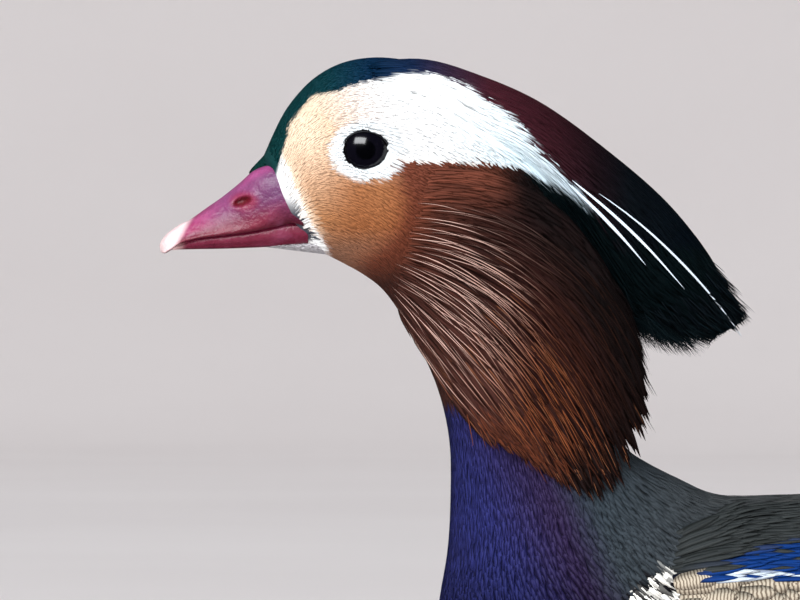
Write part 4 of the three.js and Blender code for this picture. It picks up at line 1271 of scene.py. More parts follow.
@dataclass
class HeadPlumage:
    """Short dense feathers of face, crown, chin and cheeks."""

    form: BodyForm
    surface: Surface
    count: int = 23000
    steps: int = 2
    lid_gap: float = 0.55
    seed: int = 11

    def bare(self, x: Array, y: Array, z: Array) -> Array:
        """1 where no feather grows: the eye's opening and the bill.

        Args:
            x: Points' x.
            y: Points' y.
            z: Points' z.

        Returns:
            1 or 0 at each point.
        """
        eye = Markings.EYE
        point = (np.abs(y) < (x + 167) * 0.9) & (z > 235.5)
        bill = (Markings.behind(Markings.BILL_EDGE, x, z) < 0.1) & ~point
        return ((eye.out(x, z, eye.lid) < 0.98) | bill).astype(float)

    def weight(self, u: Array, v: Array, p: Array) -> Array:
        """Density: highest on the face, thin under ruff and crest.

        Args:
            u: u of the cells.
            v: v of the cells.
            p: The points there.

        Returns:
            The density.
        """
        x, y, z = np.moveaxis(p, -1, 0)
        face = 1 + 1.2 * (1 - ease(x, -150, -128))
        hidden = (above(Markings.CAP_EDGE, x, z) < -6) & (above(Markings.BROW_EDGE, x, z) < -4) & (x > -128)
        head = u < self.form.share(self.form.neck_top - 0.6)
        return face * np.where(hidden, 0.12, 1.0) * (1 - self.bare(x, y, z)) * head

    def build(self) -> None:
        """Feathers lie back from the bill, shortest by it, and turn down over the cheek."""
        rng = np.random.default_rng(self.seed)
        u, v = self.surface.scatter(self.count, self.weight, rng)
        root = self.surface.at(u, v)
        keep = self.bare(*np.moveaxis(root, -1, 0)) < 0.5
        u, v, root = u[keep], v[keep], root[keep]
        x, z = root[:, 0], root[:, 2]
        near = 1 - ease(x, -168, -140)
        eye = Markings.EYE
        free = (eye.out(x, z, eye.lid) - 0.98) * eye.lid[1] + 12 * ease(x, eye.x - 1, eye.x + 4)
        length = np.minimum((4.4 - 2.0 * near) * rng.uniform(0.85, 1.2, len(u)), self.lid_gap + free)
        half = (0.4 - 0.13 * near) * rng.uniform(0.85, 1.15, len(u))
        down = np.where(v < 0.5, 1, -1)
        swirl = 0.3 * ease(-above(Markings.BROW_EDGE, x, z), 2, 12) * ease(x, -160, -140)
        plumes = Plumes.grow(self.surface, (u, v), length, half, heading=down * swirl + rng.normal(0, 0.04, len(u)),
                             cut=Cut.POINT, steps=self.steps, sink=0.14, lift=0.01 + 0.03 * rng.random(len(u)),
                             curve=0.25, ridge=0.05)
        colour, gloss = Markings.head(plumes.line[:, 1:].mean(axis=1) + rng.normal(0, 0.2, (len(u), 3)))
        plumes.paint(colour, gloss=gloss, rng=rng)
        chin, forehead = self.chin(rng), self.forehead(rng)
        finish = PlumageFinish(name="face_plumage", streaks=0.06, streak_count=3.0, relief=0.05)
        for side in Side:
            kept = np.flatnonzero((v < 0.5) == (side is Side.RIGHT))
            parts = [plumes.picked(kept).mesh()] + ([chin, forehead] if side is Side.LEFT else [])
            MeshData.join(parts).build(f"face_plumage_{side.label}", finish, "face")

    def chin(self, rng: np.random.Generator) -> MeshData:
        """White wedge of feathers under the root of the bill, painted grey as shade under the bill, on half rounds that
        widen and drop towards the throat.

        Args:
            rng: Source of variation.

        Returns:
            The feathers' mesh.
        """
        def formula(u: Array, v: Array) -> Array:
            """Point at u and v.

            Args:
                u: u of the points.
                v: v of the points.

            Returns:
                The points.
            """
            angle = (v - 0.5) * math.pi
            y, drop = (0.6 + 6.2 * u**0.8) * np.sin(angle), (0.4 + 2.3 * u) * np.cos(angle)
            return np.stack([-169 + 19 * u, y, 219.2 - drop], axis=-1)

        under = Surface.sample(formula, 40, 40, np.array([0, 0, -1]))
        # painted shade: the chin's white is painted grey
        return self.wedge(under, 700, 1.0, tint(184, 182, 186), rng)

    def forehead(self, rng: np.random.Generator) -> MeshData:
        """Green wedge of feathers that runs down over the root of the bill's ridge.

        Args:
            rng: Source of variation.

        Returns:
            The feathers' mesh.
        """
        def formula(u: Array, v: Array) -> Array:
            """Point at u and v.

            Args:
                u: u of the points.
                v: v of the points.

            Returns:
                The points.
            """
            angle = (v - 0.5) * math.pi
            x = -171.2 + 6.7 * u
            low = np.interp(x, [-171.2, -164.5], [236.4, 239])
            middle = np.interp(x, [-171.2, -168, -164.5], [236.9, 240.2, 244])
            return np.stack([x, (0.5 + 4.4 * u) * np.sin(angle), low + (middle - low) * np.cos(angle)], axis=-1)

        ridge = Surface.sample(formula, 30, 30, np.array([0, 0, 1]))
        return self.wedge(ridge, 280, 0.7, tint(6, 52, 48), rng)

    def wedge(self, surface: Surface, count: int, last: float, colour: Array, rng: np.random.Generator) -> MeshData:
        """Short feathers all over a small surface beside the bill.

        Args:
            surface: The surface.
            count: How many feathers.
            last: Highest u of the roots.
            colour: Their colour.
            rng: Source of variation.

        Returns:
            The feathers' mesh.
        """
        u, v = surface.scatter(count, lambda a, b, p: a < last, rng)
        plumes = Plumes.grow(surface, (u, v), rng.uniform(1.8, 2.8, len(u)), 0.3, cut=Cut.POINT, steps=2, sink=0.2,
                             lift=0.08, curve=0.4, ridge=0.06)
        return plumes.paint(colour, rng=rng).mesh()


@dataclass
class Eyes:
    """Ball and lids of both eyes."""

    eye: Eye = Markings.EYE
    rows: int = 40
    columns: int = 72
    creases: int = 46

    def build(self) -> None:
        """Ball and lids of each side."""
        for side in Side:
            self.ball(side)
            self.lids(side)

    def bulge(self, x: Array, z: Array) -> Array:
        """How far out the ball lies at points of the side view: its half depth times the root of one less the squared
        distance from its axis."""
        out = np.minimum(self.eye.out(x, z, (self.eye.half_length, self.eye.half_length)), 1)
        return self.eye.y + self.eye.half_depth * np.sqrt(1 - out**2)

    def ball(self, side: Side) -> None:
        """An oval ball whose poles lie on its axis across the head.

        Args:
            side: Side of the bird.
        """
        polar = np.linspace(0.02, math.pi - 0.02, self.rows)[:, None]
        turn = (np.arange(self.columns) * TAU / self.columns)[None]
        x = self.eye.x + self.eye.half_length * np.sin(polar) * np.cos(turn)
        y = side.value * (self.eye.y + self.eye.half_depth * np.cos(polar) * np.ones_like(turn))
        z = self.eye.z + self.eye.half_length * np.sin(polar) * np.sin(turn)
        data = MeshData.bar(np.stack([x, y, z], axis=-1), tint(10, 8, 8), 1.0)
        data.build(f"eye_ball_{side.label}", EyeFinish(), "eye", (f"eye_{side.label}",))

    def lids(self, side: Side) -> None:
        """A ring round the opening whose section is a half round roll, thickest at the opening, with fine creases.

        Args:
            side: Side of the bird.
        """
        turn = np.linspace(0, TAU, 96, endpoint=False)[:, None]
        roll = np.linspace(0, 1, 15)[None]
        (a, b), (c, d) = self.eye.opening, self.eye.lid
        reach = (1 - np.cos(math.pi * np.minimum(roll * 2, 1))) / 2
        reach = np.where(roll < 0.5, reach, 1 - (roll - 0.5) * 2)
        x = self.eye.x + (a + (c - a) * reach) * np.cos(turn)
        z = self.eye.z + (b + (d - b) * reach) * np.sin(turn) * (1 - 0.06 * np.cos(turn))
        arch = np.sin(math.pi * np.minimum(roll * 2, 1))
        crease = 0.05 * np.sin(turn * self.creases) * arch
        thick = 0.4 * arch * (1 - 0.55 * reach)
        base = self.bulge(x, z) * (1 - ease(reach, 0.2, 1)) + (self.eye.y + 3.25) * ease(reach, 0.2, 1)
        y = base + np.where(roll < 0.5, 0.12 + thick + crease, -0.7)
        points = np.stack(np.broadcast_arrays(x, side.value * y, z), axis=-1)
        data = MeshData.grid(points, tint(7, 8, 18), 0.3, wrap=True, loop=True)
        data.build(f"lids_{side.label}", HornFinish(name="lid_skin", rough=0.6, coat=0.0), "eye")


@dataclass
class Bill:
    """Upper and lower half of the bill, with nostrils and nail.

    A row of a half holds its crest's x and z, its edge's x and z, and its half width.
    """

    upper: Array = table(
        (-162.5, 239.4, -157.5, 223.6, 9.2), (-165.6, 238.9, -158.8, 224.0, 9.1), (-169.8, 237.2, -161, 224.2, 8.7),
        (-173.5, 234, -166, 223.1, 8.3), (-177.5, 230.8, -171, 222.1, 7.9), (-181.5, 228, -177, 221.3, 7.5),
        (-185.3, 225.3, -183, 220.6, 7.1), (-188.4, 223.4, -187.3, 219.5, 6.3), (-190.9, 221.6, -190, 217.9, 5.1),
        (-192.4, 219.8, -191.6, 217, 3.4), (-192.9, 218.4, -192.5, 217.3, 1.2))
    lower: Array = table(
        (-156.4, 223.4, -156.7, 218.9, 7.9), (-160.2, 223.3, -160.6, 218.9, 7.8), (-165, 222.4, -165.5, 218.6, 7.5),
        (-171, 221.3, -172, 218.3, 7.1), (-177, 220.5, -178, 218.1, 6.7), (-183, 219.9, -184, 218, 6.2),
        (-187.6, 219.1, -187.9, 217.9, 4.8), (-189.6, 218.5, -189.7, 217.8, 2.6))
    finish: HornFinish = HornFinish(name="bill_skin", relief=0.35, bloom=0.1)
    nostril: tuple[float, float] = (-172.6, 229.6)
    nostril_half: tuple[float, float] = (2.4, 1.05)
    nostril_tilt: float = 0.33
    palate: tuple[tuple[int, float, float], ...] = ((-1, 0.75, 0.5), (-1, 0.25, 0.8), (0, 0.25, 0.8), (0, 0.75, 0.5))
    gloss: float = 0.5

    def paint(self, p: Array) -> Array:
        """Colour of the upper half: mauve pink on the ridge and root, crimson to the edge, ivory at the nail.

        Args:
            p: The points there.

        Returns:
            The colours.
        """
        x, _, z = np.moveaxis(p, -1, 0)
        level = np.interp(x, self.upper[::-1, 0], self.upper[::-1, 1])
        floor = np.interp(x, self.upper[::-1, 2], self.upper[::-1, 3])
        rise = np.clip((z - floor) / np.maximum(level - floor, 1), 0, 1)
        colour = stops(rise, [(0, tint(76, 6, 28)), (0.1, tint(120, 16, 48)), (0.24, tint(112, 22, 58)),
                              (0.55, tint(118, 44, 92)), (1, tint(142, 72, 118))])
        colour = blend(colour, tint(88, 44, 90), 0.75 * ease(x, -175, -163) * ease(rise, 0.2, 0.5))
        colour = blend(colour, tint(168, 54, 98), 0.6 * ease(-x, 176, 186) * ease(rise, 0.15, 0.4))
        colour = blend(colour, tint(170, 70, 128), 0.6 * ease(x, -176, -170) * ease(rise, 0.8, 0.95))
        ring = np.hypot(x - self.nostril[0] - 0.5, (z - self.nostril[1]) * 1.5)
        colour = blend(colour, tint(142, 24, 58), 0.7 * (1 - ease(ring, 2.0, 4.6)))
        nail = ease(-x + 0.55 * (z - 219), 187.6, 189.6)
        return blend(colour, tint(226, 200, 200), nail)

    def build(self) -> None:
        """Both halves: the upper is a domed bar through its slices, pressed in at the nostrils."""
        place, around, (top_x, top_z, low_x, low_z, width) = self.slices(self.upper, 120, 57)
        boxy = 1 - ease(place, 1.5, 4.5)
        rise = np.abs(np.cos(around)) ** (0.8 - 0.42 * boxy)
        flare = 1 + 0.035 * np.exp(-(((rise - 0.06) / 0.07) ** 2)) * ease(place, 2, 4)
        y = width * np.sign(np.sin(around)) * np.abs(np.sin(around)) ** (1 - 0.25 * boxy) * flare
        waist = 1 - 0.06 * np.sin(math.pi * np.clip(rise, 0, 1)) * ease(place, 2, 5)
        x, z = low_x + (top_x - low_x) * rise, low_z + (top_z - low_z) * rise
        dx, dz = x - self.nostril[0], z - self.nostril[1]
        c, s = math.cos(self.nostril_tilt), math.sin(self.nostril_tilt)
        out = np.hypot((dx * c + dz * s) / self.nostril_half[0], (dz * c - dx * s) / self.nostril_half[1])
        pit = 1.5 * (1 - ease(out, 0.45, 1.0)) - 0.28 * np.exp(-(((out - 1.45) / 0.35) ** 2))
        side = np.sign(y) * np.minimum(np.abs(np.sin(around)) * 1.6, 1)
        nail = 0.35 * ease(-x, 185.5, 187.5) * ease(-np.abs(y), -4.6, -3.4) * ease(rise, 0.2, 0.5)
        points = np.stack(np.broadcast_arrays(x, y * waist - side * pit, z + nail), axis=-1)
        colour = self.paint(points)
        # painted shade: the nostril's pit is painted near-black red
        colour = blend(colour, tint(96, 2, 16), 0.95 * (1 - ease(out, 0.8, 1.25)) * (np.abs(y) > 2))
        colour = blend(colour, tint(96, 20, 40), 0.6 * (1 - ease(rise, 0.0, 0.07)))
        under = np.stack([points[:, edge] * [1, share, 1] + [0, 0, high] for edge, share, high in self.palate], axis=1)
        tones = np.concatenate([colour, np.broadcast_to(tint(120, 30, 50), under.shape)], axis=1)
        whole = MeshData.bar(np.concatenate([points, under], axis=1), tones, self.gloss)
        whole.build("bill_upper_half", self.finish, "bill", ("bill_upper",))
        self.build_lower()

    def slices(self, rows: Array, steps: int, around: int) -> tuple[Array, Array, Array]:
        """Places along a half, angles over it from edge to edge, and its columns at the places."""
        place = np.linspace(0, len(rows) - 1, steps)[:, None]
        return place, np.linspace(-math.pi / 2, math.pi / 2, around)[None], curves(rows, place)

    def build_lower(self) -> None:
        """The lower half: a shallow trough, darker, with a pale tip."""
        _, around, (top_x, top_z, low_x, low_z, width) = self.slices(self.lower, 70, 33)
        drop = np.abs(np.cos(around)) ** 0.7
        x, z = top_x + (low_x - top_x) * drop, top_z + (low_z - top_z) * drop
        points = np.stack(np.broadcast_arrays(x, width * np.sin(around), z), axis=-1)
        points[..., 2] -= 0.25 * np.exp(-(((np.abs(points[..., 1]) - 4.5) / 0.8) ** 2))
        lid = np.stack([points[:, edge] * [1, 0.93, 1] + [0, 0, 1.3] for edge in (-1, 0)], axis=1)
        whole = np.concatenate([points, lid], axis=1)
        colour = blend(tint(112, 18, 50), tint(214, 180, 176), ease(-whole[..., 0], 186, 189.5))
        MeshData.bar(whole, colour, self.gloss).build(
            "bill_lower_half", self.finish, "bill", ("bill_lower",))


@dataclass
class Ruff:
    """Long cheek hackles of both sides.

    A row of the table holds x and z of a line's root, bend point and tip, and how far out its tip stands.
    """

    form: BodyForm
    rows: Array = table(
        (-133, 236.8, -92, 242, -77.1, 195.8, 12), (-136.1, 228.8, -92.6, 234.5, -75.6, 184.8, 15),
        (-139.1, 220.2, -97.5, 220.5, -78.6, 169.4, 20), (-139.6, 214.9, -107.2, 207.2, -86.1, 158.7, 25),
        (-138.6, 210.5, -117.8, 197.4, -98.8, 164, 25), (-136.6, 206.1, -126.9, 190.9, -109.8, 171.4, 20.5),
        (-134.7, 202.7, -128.1, 189.7, -119.6, 174.8, 12))
    count: int = 1700
    shafts: int = 210
    wisps: int = 800
    locks: int = 22
    seed: int = 23

    def surface(self, side: Side) -> Surface:
        """Surface that the hackles lie on, with u from cheek to tip and v from the upper edge to the throat.

        Each line is a curve of three points, a(1-u)^2 + 2bu(1-u) + cu^2, and keeps outside the neck.

        Args:
            side: Side of the bird.

        Returns:
            The surface.
        """
        def formula(u: Array, v: Array) -> Array:
            """Point at u and v.

            Args:
                u: u of the points.
                v: v of the points.

            Returns:
                The points.
            """
            root_x, root_z, bend_x, bend_z, tip_x, tip_z, out = curves(self.rows, v * (len(self.rows) - 1))
            curve = lambda a, b, c: a * (1 - u) ** 2 + 2 * b * u * (1 - u) + c * u * u
            x, z = curve(root_x, bend_x, tip_x), curve(root_z, bend_z, tip_z)
            start = self.form.width_at(root_x, root_z, self.form.neck_base)
            skin = self.form.width_at(x, z, self.form.neck_base - 3)
            sunk = 1.1 * (1 - ease(u, 0, 0.16))
            y = side.value * (np.maximum(skin + 0.4, curve(start, start, out - 1.4)) - sunk)
            return np.stack([x, y, z], axis=-1)

        return Surface.sample(formula, 110, 72, np.array([0, side.value, 0]))

    def build(self) -> None:
        """Hackles, shafts over them, loose wisps at their tips and a bed under them, on each side."""
        finish = PlumageFinish(name="ruff_hackles", shaft=tuple(tint(190, 120, 76)), shaft_width=0.16, streak_count=6.0)
        for side in Side:
            surface = self.surface(side)
            rng = np.random.default_rng(self.seed)
            parts = [self.bed(surface), *(make(surface, rng) for make in (self.hackles, self.quills, self.loose))]
            MeshData.join(parts).build(f"ruff_{side.label}_hackles", finish, "ruff", (f"ruff_{side.label}",))

    def bed(self, surface: Surface) -> MeshData:
        """Sheet just under the hackles, closed by an inner face, in the ruff's colours darkened as painted shade.

        Args:
            surface: Surface of the hackles.

        Returns:
            The sheet's mesh.
        """
        u, v = lattice(50, 34, (0.1, 0.86), (0.03, 0.88))
        ring = folded(surface.at(u, v, -0.4), surface.at(u, v, -1.2))
        # painted shade: the sheet under the hackles takes the ruff's colour darkened
        return MeshData.bar(ring, Markings.ruff(ring) * 0.8)

    def hackles(self, surface: Surface, rng: np.random.Generator) -> MeshData:
        """Overlapping hackles, short on the cheek and longer towards the tips.

        Args:
            surface: What they grow from.
            rng: Source of variation.

        Returns:
            The hackles' mesh.
        """
        u, v = surface.scatter(self.count, lambda a, b, p: (a < 0.84) * (b < 0.9) * (1 + 1.6 * (1 - a)), rng)
        order = np.argsort(u)
        u, v = u[order], v[order]
        root = surface.at(u, v)
        length = (8 + 20 * u**0.7) * rng.uniform(0.85, 1.15, len(u))
        length = np.minimum(length, surface.left(u, v) + rng.uniform(-2, 3, len(u)))
        half = (0.45 + 0.5 * ease(u, 0, 0.5)) * rng.uniform(0.8, 1.2, len(u))
        drawn, aside = surface.gathered(u, v, self.locks, 0.5, 0.75)
        length = length + 6 * ease(u, 0.5, 0.7) * (0.5 - np.abs(aside)) * rng.uniform(0.4, 1.3, len(u))
        plumes = Plumes.grow(surface, (u, v), length, half, heading=drawn / length + rng.normal(0, 0.03, len(u)),
                             cut=Cut.LANCE, steps=6, sink=0.6,
                             lift=0.2 + 0.5 * u + (0.3 * rng.random(len(u)) + 0.5 - np.abs(aside)) * u, curve=0.5,
                             ridge=0.12)
        colour = Markings.ruff(plumes.line) * (1 + rng.normal(0, 0.14, (len(u), 1, 1)))
        colour = blend(colour, tint(34, 14, 12), 0.3 * rng.random((len(u), 1)) * ease(u, 0.1, 0.4)[:, None])
        tip = plumes.line[:, -1]
        clear = 1 - ease(above(Markings.CREST_EDGE, tip[:, 0], tip[:, 2]), -22, -12)
        pale = 0.35 * ease(u, 0.1, 0.35) * (rng.random(len(u)) < 0.22) * clear
        return plumes.paint(colour, shaft=pale, gloss=0.1, rng=rng).mesh()

    def quills(self, surface: Surface, rng: np.random.Generator) -> MeshData:
        """Bare pale shafts that lie over the hackles, pinkish in front and orange towards the edge.

        Args:
            surface: What they grow from.
            rng: Source of variation.

        Returns:
            The shafts' mesh.
        """
        def weight(u: Array, v: Array, p: Array) -> Array:
            """Density, thinner to the rear, at the upper edge and towards the throat."""
            inside = (u > 0.05) & (u < 0.72) & (v < 0.9)
            return inside * (1.5 - u) * ease(v, 0.05, 0.35) * (1 - 0.65 * ease(v, 0.5, 0.8))

        u, v = surface.scatter(self.shafts, weight, rng)
        length = np.minimum((12 + 26 * u**0.5) * rng.uniform(0.7, 1.25, len(u)), surface.left(u, v) + 2)
        half = rng.uniform(0.065, 0.125, len(u))
        plumes = Plumes.grow(surface, (u, v), length, half, heading=rng.normal(0, 0.045, len(u)),
                             bend=rng.normal(0, 0.12, len(u)), cut=Cut.SPINDLE, steps=8, sink=-0.1,
                             lift=1.2 + 1.1 * u + 0.3 * rng.random(len(u)), curve=0.6, ridge=0.5)
        x, z = plumes.line[..., 0], plumes.line[..., 2]
        colour = blend(tint(218, 180, 166), tint(142, 80, 46), ease(x - 0.5 * (z - 200), -122, -92))
        ends = np.maximum(1 - ease(plumes.places, 0.0, 0.2), ease(plumes.places, 0.5, 1.0))
        behind = 0.9 * ease(above(Markings.CREST_EDGE, x, z), -24, -11)
        fade = np.clip(ends + behind + 0.8 * (rng.random((len(u), 1)) < 0.45) * rng.random((len(u), 1)), 0, 0.95)
        return plumes.paint(blend(colour, Markings.ruff(plumes.line) * 1.2, fade), rng=rng).mesh()

    def loose(self, surface: Surface, rng: np.random.Generator) -> MeshData:
        """Hair-fine wisps that fray the rear edge.

        Args:
            surface: What they grow from.
            rng: Source of variation.

        Returns:
            The wisps' mesh.
        """
        count = self.wisps
        u, v = rng.uniform(0.66, 0.86, count), rng.uniform(0.02, 0.84, count)
        length = rng.uniform(8, 22, count)
        length = np.minimum(length, surface.left(u, v) + rng.uniform(0, 7, count) * (1 - 0.6 * ease(v, 0.5, 0.8)))
        plumes = Plumes.grow(surface, (u, v), length, rng.uniform(0.12, 0.3, count), heading=rng.normal(0, 0.12, count),
                             cut=Cut.STRAND, steps=5, sink=0.2, lift=rng.uniform(0.4, 1.8, count), ridge=0.6)
        warm = 0.6 * rng.random((count, 1)) * ease(v, 0.3, 0.6)[:, None]
        return plumes.paint(blend(Markings.ruff(plumes.line), tint(128, 66, 38), warm), rng=rng).mesh()


@dataclass
class Crest:
    """Long swept-back crest with white plumes.

    A row of the table holds x and z of the upper line, x and z of the lower line and the half width.
    """

    form: BodyForm
    rows: Array = table(
        (-146, 263.6, -142, 256, 8), (-129, 264.4, -126, 251, 13.4), (-114.7, 260.4, -114, 243, 16.2),
        (-100, 253.8, -104, 236.5, 15.8), (-85.4, 243.4, -94, 226.5, 13.8), (-70.8, 231, -86.5, 213.5, 11),
        (-60.8, 219.2, -79.5, 202.5, 8.2), (-55, 209.4, -69.5, 198.4, 5.6), (-52.6, 203.8, -62.5, 197.4, 3.6))
    count: int = 6600
    fringe: int = 1800
    tail: int = 460
    sheaf: int = 6
    plume_half: float = 0.23
    melt: float = 0.9
    seed: int = 37
    locks: int = 14
    plume_paths: tuple[tuple[tuple[float, float], ...], ...] = (
        ((-93.5, 233.9), (-86.6, 227.4), (-80.3, 220.8), (-74.4, 213.9)),
        ((-92.5, 234.6), (-82.8, 226.6), (-73.6, 217.8), (-65.0, 208.2)),
        ((-86.0, 231.4), (-76.0, 223.8), (-66.8, 215.4), (-58.3, 206.3), (-50.8, 196.6)),
    )

    def surface(self, drawn_in: float = 0.0) -> Surface:
        """The crest's outside, drawn in by a depth, with u from crown to tips and v round it from the lower line: an
        oval between its upper and lower line, that swells softly over the head where the head is wider.

        Args:
            drawn_in: Depth under the crest's outside.

        Returns:
            The surface.
        """
        def formula(u: Array, v: Array) -> Array:
            """Point at u and v.

            Args:
                u: u of the points.
                v: v of the points.

            Returns:
                The points.
            """
            top_x, top_z, low_x, low_z, width = curves(self.rows, u * (len(self.rows) - 1))
            angle = (v - 0.5) * TAU
            share = (1 + np.cos(angle)) / 2
            x, z = low_x + (top_x - low_x) * share, low_z + (top_z - low_z) * share
            y = width * np.sin(angle)
            under = self.form.width_at(x, z, self.form.neck_top - 2) + 0.12 - np.abs(y)
            swell = (under + np.sqrt(under**2 + self.melt**2)) / 2 * ease(np.abs(np.sin(angle)), 0, 0.35) * (under > -4)
            return np.stack([x, y + np.sign(y) * swell, z], axis=-1)

        made = Surface.sample(formula, 160, 121, off_middle, wrap=True)
        made.points = made.points - made.normals * drawn_in
        return made

    def colour(self, points: Array, rng: np.random.Generator) -> tuple[Array, Array]:
        """Colour and gloss: cap colours over the brow, white in it, and green-black below and behind.

        Args:
            points: The points.
            rng: Source of variation.

        Returns:
            The colours, and the gloss.
        """
        x, z = points[..., 0], points[..., 2]
        fray = rng.normal(0, 0.5, (len(points), 1)) * ease(x, -140, -120) + rng.normal(0, 0.12, x.shape)
        cap = ease(above(Markings.CAP_EDGE, x, z) + fray, -0.5, 0.5)
        brow = ease(above(Markings.BROW_EDGE, x, z) + 0.5 * fray, -0.4, 0.4) * (1 - ease(x, -90, -86))
        low = blend(Markings.BLACK_GREEN, Markings.brow(x), brow)
        return blend(low, Markings.cap(points), cap), np.where(brow * (1 - cap) > 0.5, 0.0, 0.75)

    def build(self) -> None:
        """Bed, strands, fringe, plumes and the brush at the end."""
        rng = np.random.default_rng(self.seed)
        surface = self.surface()
        finish = PlumageFinish(name="crest_strands", streaks=0.12, streak_count=4.0, glossy=0.26, relief=0.08)
        MeshData.join([self.bed(), self.strands(surface, rng)]).build("crest_feathers", finish, "crest", ("crest",))
        loose = [make(surface, rng) for make in (self.edge, self.plumes, self.brush)]
        MeshData.join(loose).build("crest_fringe_and_plumes", finish, "crest")

    def bed(self) -> MeshData:
        """Core close under the strands, ending short of the tips, in their colours darkened a little as painted shade.

        Returns:
            The core's mesh.
        """
        u, v = np.meshgrid(np.linspace(0.1, 0.76, 60), np.linspace(0, 1, 72, endpoint=False), indexing="ij")
        points = self.surface(0.14).at(u, v)
        colour, _ = self.colour(points, np.random.default_rng(5))
        # painted shade: the core under the strands takes their colour darkened
        return MeshData.bar(points, colour * 0.92)

    def strands(self, surface: Surface, rng: np.random.Generator) -> MeshData:
        """Silky strands along the crest where it stands clear of the head.

        Args:
            surface: What they grow from.
            rng: Source of variation.

        Returns:
            The strands' mesh.
        """
        def weight(u: Array, v: Array, p: Array) -> Array:
            """Density, with none where the head covers it."""
            clear = np.abs(p[..., 1]) > self.form.width_at(p[..., 0], p[..., 2], self.form.neck_top - 2) - 0.2
            return clear & (u < 0.9) & (u > 0.03)

        u, v = surface.scatter(self.count, weight, rng)
        drawn, aside = surface.gathered(u, v, self.locks, 0.6, 0.8)
        left = surface.left(u, v) + rng.uniform(-8, 2.5, len(u)) + 15 * (0.5 - np.abs(aside)) * ease(u, 0.6, 0.8)
        length = np.minimum((8 + 16 * u) * rng.uniform(0.85, 1.15, len(u)), np.maximum(left, 4))
        half = rng.uniform(0.3, 0.5, len(u)) * (0.85 + 0.4 * u) * (1 - 0.3 * ease(u, 0.75, 0.9))
        plumes = Plumes.grow(surface, (u, v), length, half, heading=drawn / length + rng.normal(0, 0.04, len(u)),
                             cut=Cut.LANCE, steps=4, sink=0.2, lift=0.04 + (0.15 + 0.3 * rng.random(len(u))) * u**2,
                             curve=0.35, ridge=0.1)
        colour, gloss = self.colour(plumes.line, rng)
        return plumes.paint(colour * (1 + rng.normal(0, 0.07, (len(u), 1, 1))), gloss=gloss, rng=rng).mesh()

    def edge(self, surface: Surface, rng: np.random.Generator) -> MeshData:
        """Fine hairs that fray the lower and rear edge of the crest and hang off it.

        Args:
            surface: What they grow from.
            rng: Source of variation.

        Returns:
            The hairs' mesh.
        """
        count = self.fringe
        u = 0.62 + 0.35 * rng.random(count) ** 0.8
        around = rng.normal(0, 1, count) * (0.045 + 0.3 * ease(u, 0.84, 0.93))
        hang = rng.uniform(0.2, 6.2, count) * (1 - 0.6 * ease(u, 0.85, 0.95))
        plumes = Plumes.grow(surface, (u, around % 1), rng.uniform(5, 13, count), rng.uniform(0.08, 0.2, count),
                             heading=rng.normal(0, 0.14, count), cut=Cut.STRAND, steps=4, sink=0.8, lift=hang,
                             curve=1.3, ridge=0.6)
        colour = tint(5, 20, 25) * (1 + rng.normal(0, 0.25, (count, 1)))
        return plumes.paint(colour, gloss=0.4, rng=rng).mesh()

    def brush(self, surface: Surface, rng: np.random.Generator) -> MeshData:
        """Strands that run straight back and down out of the crest's end and leave it ragged.

        Args:
            surface: What they grow from.
            rng: Source of variation.

        Returns:
            The strands' mesh.
        """
        count, t = self.tail, spaced(4)
        u, v = rng.uniform(0.78, 0.96, count), rng.uniform(0.06, 0.94, count)
        short = (1 - 0.35 * ease(u, 0.86, 0.96)) * (1 - 0.5 * ease(np.abs(v - 0.5), 0.12, 0.4))
        root = surface.at(u, v, -0.3)
        up = unit(surface.at(u, v, 1.0) - surface.at(u, v))
        way = unit(np.array([0.64, 0, -0.77]) + rng.normal(0, 0.08, (count, 3)))
        line = root[:, None] + way[:, None] * (t * rng.uniform(5.5, 11.5, (count, 1)) * short[:, None])[..., None]
        half = rng.uniform(0.12, 0.32, (count, 1)) * Cut.LANCE.share(t)
        made = Plumes(line, np.broadcast_to(up[:, None], line.shape), half, np.stack([u, v], axis=-1), t, 0.4)
        return made.paint(tint(4, 13, 19) * (1 + rng.normal(0, 0.2, (count, 1))), gloss=0.5, rng=rng).mesh()

    def plumes(self, surface: Surface, rng: np.random.Generator) -> MeshData:
        """The long white plumes on each side, each a sheaf of fine spindles along its path.

        Args:
            surface: The crest's outside.
            rng: Source of variation.

        Returns:
            The plumes' mesh.
        """
        shell = surface.at(*lattice(240, 120, (0.2, 1), (0.5, 0.98))).reshape(-1, 3)
        t, count, parts = spaced(16), self.sheaf, []
        for side in Side:
            for path in self.plume_paths:
                x, z = curves(path, t * (len(path) - 1))
                near = np.argmin((shell[:, 0] - x[:, None]) ** 2 + (shell[:, 2] - z[:, None]) ** 2, axis=1)
                out = np.polyval(np.polyfit(t, np.abs(shell[near, 1]), 3), t)
                along = np.stack([x, out + 1.1, z], axis=-1)
                aside = unit(np.cross(unit(np.gradient(along, axis=0)), [0, 1, 0]))
                spread = rng.uniform(-1, 1, (count, 1)) * 0.34 * np.sin(math.pi * t**0.6)
                line = (along + aside * spread[..., None]) * [1, side.value, 1]
                up = np.broadcast_to([0.0, side.value, 0.0], line.shape)
                half = self.plume_half * Cut.SPINDLE.share(t) * rng.uniform(0.7, 1.2, (count, 1))
                made = Plumes(line, up, half, np.full((count, 2), 0.5), t, 0.5)
                parts.append(made.paint(tint(218, 232, 244), rng=rng).mesh())
        return MeshData.join(parts)


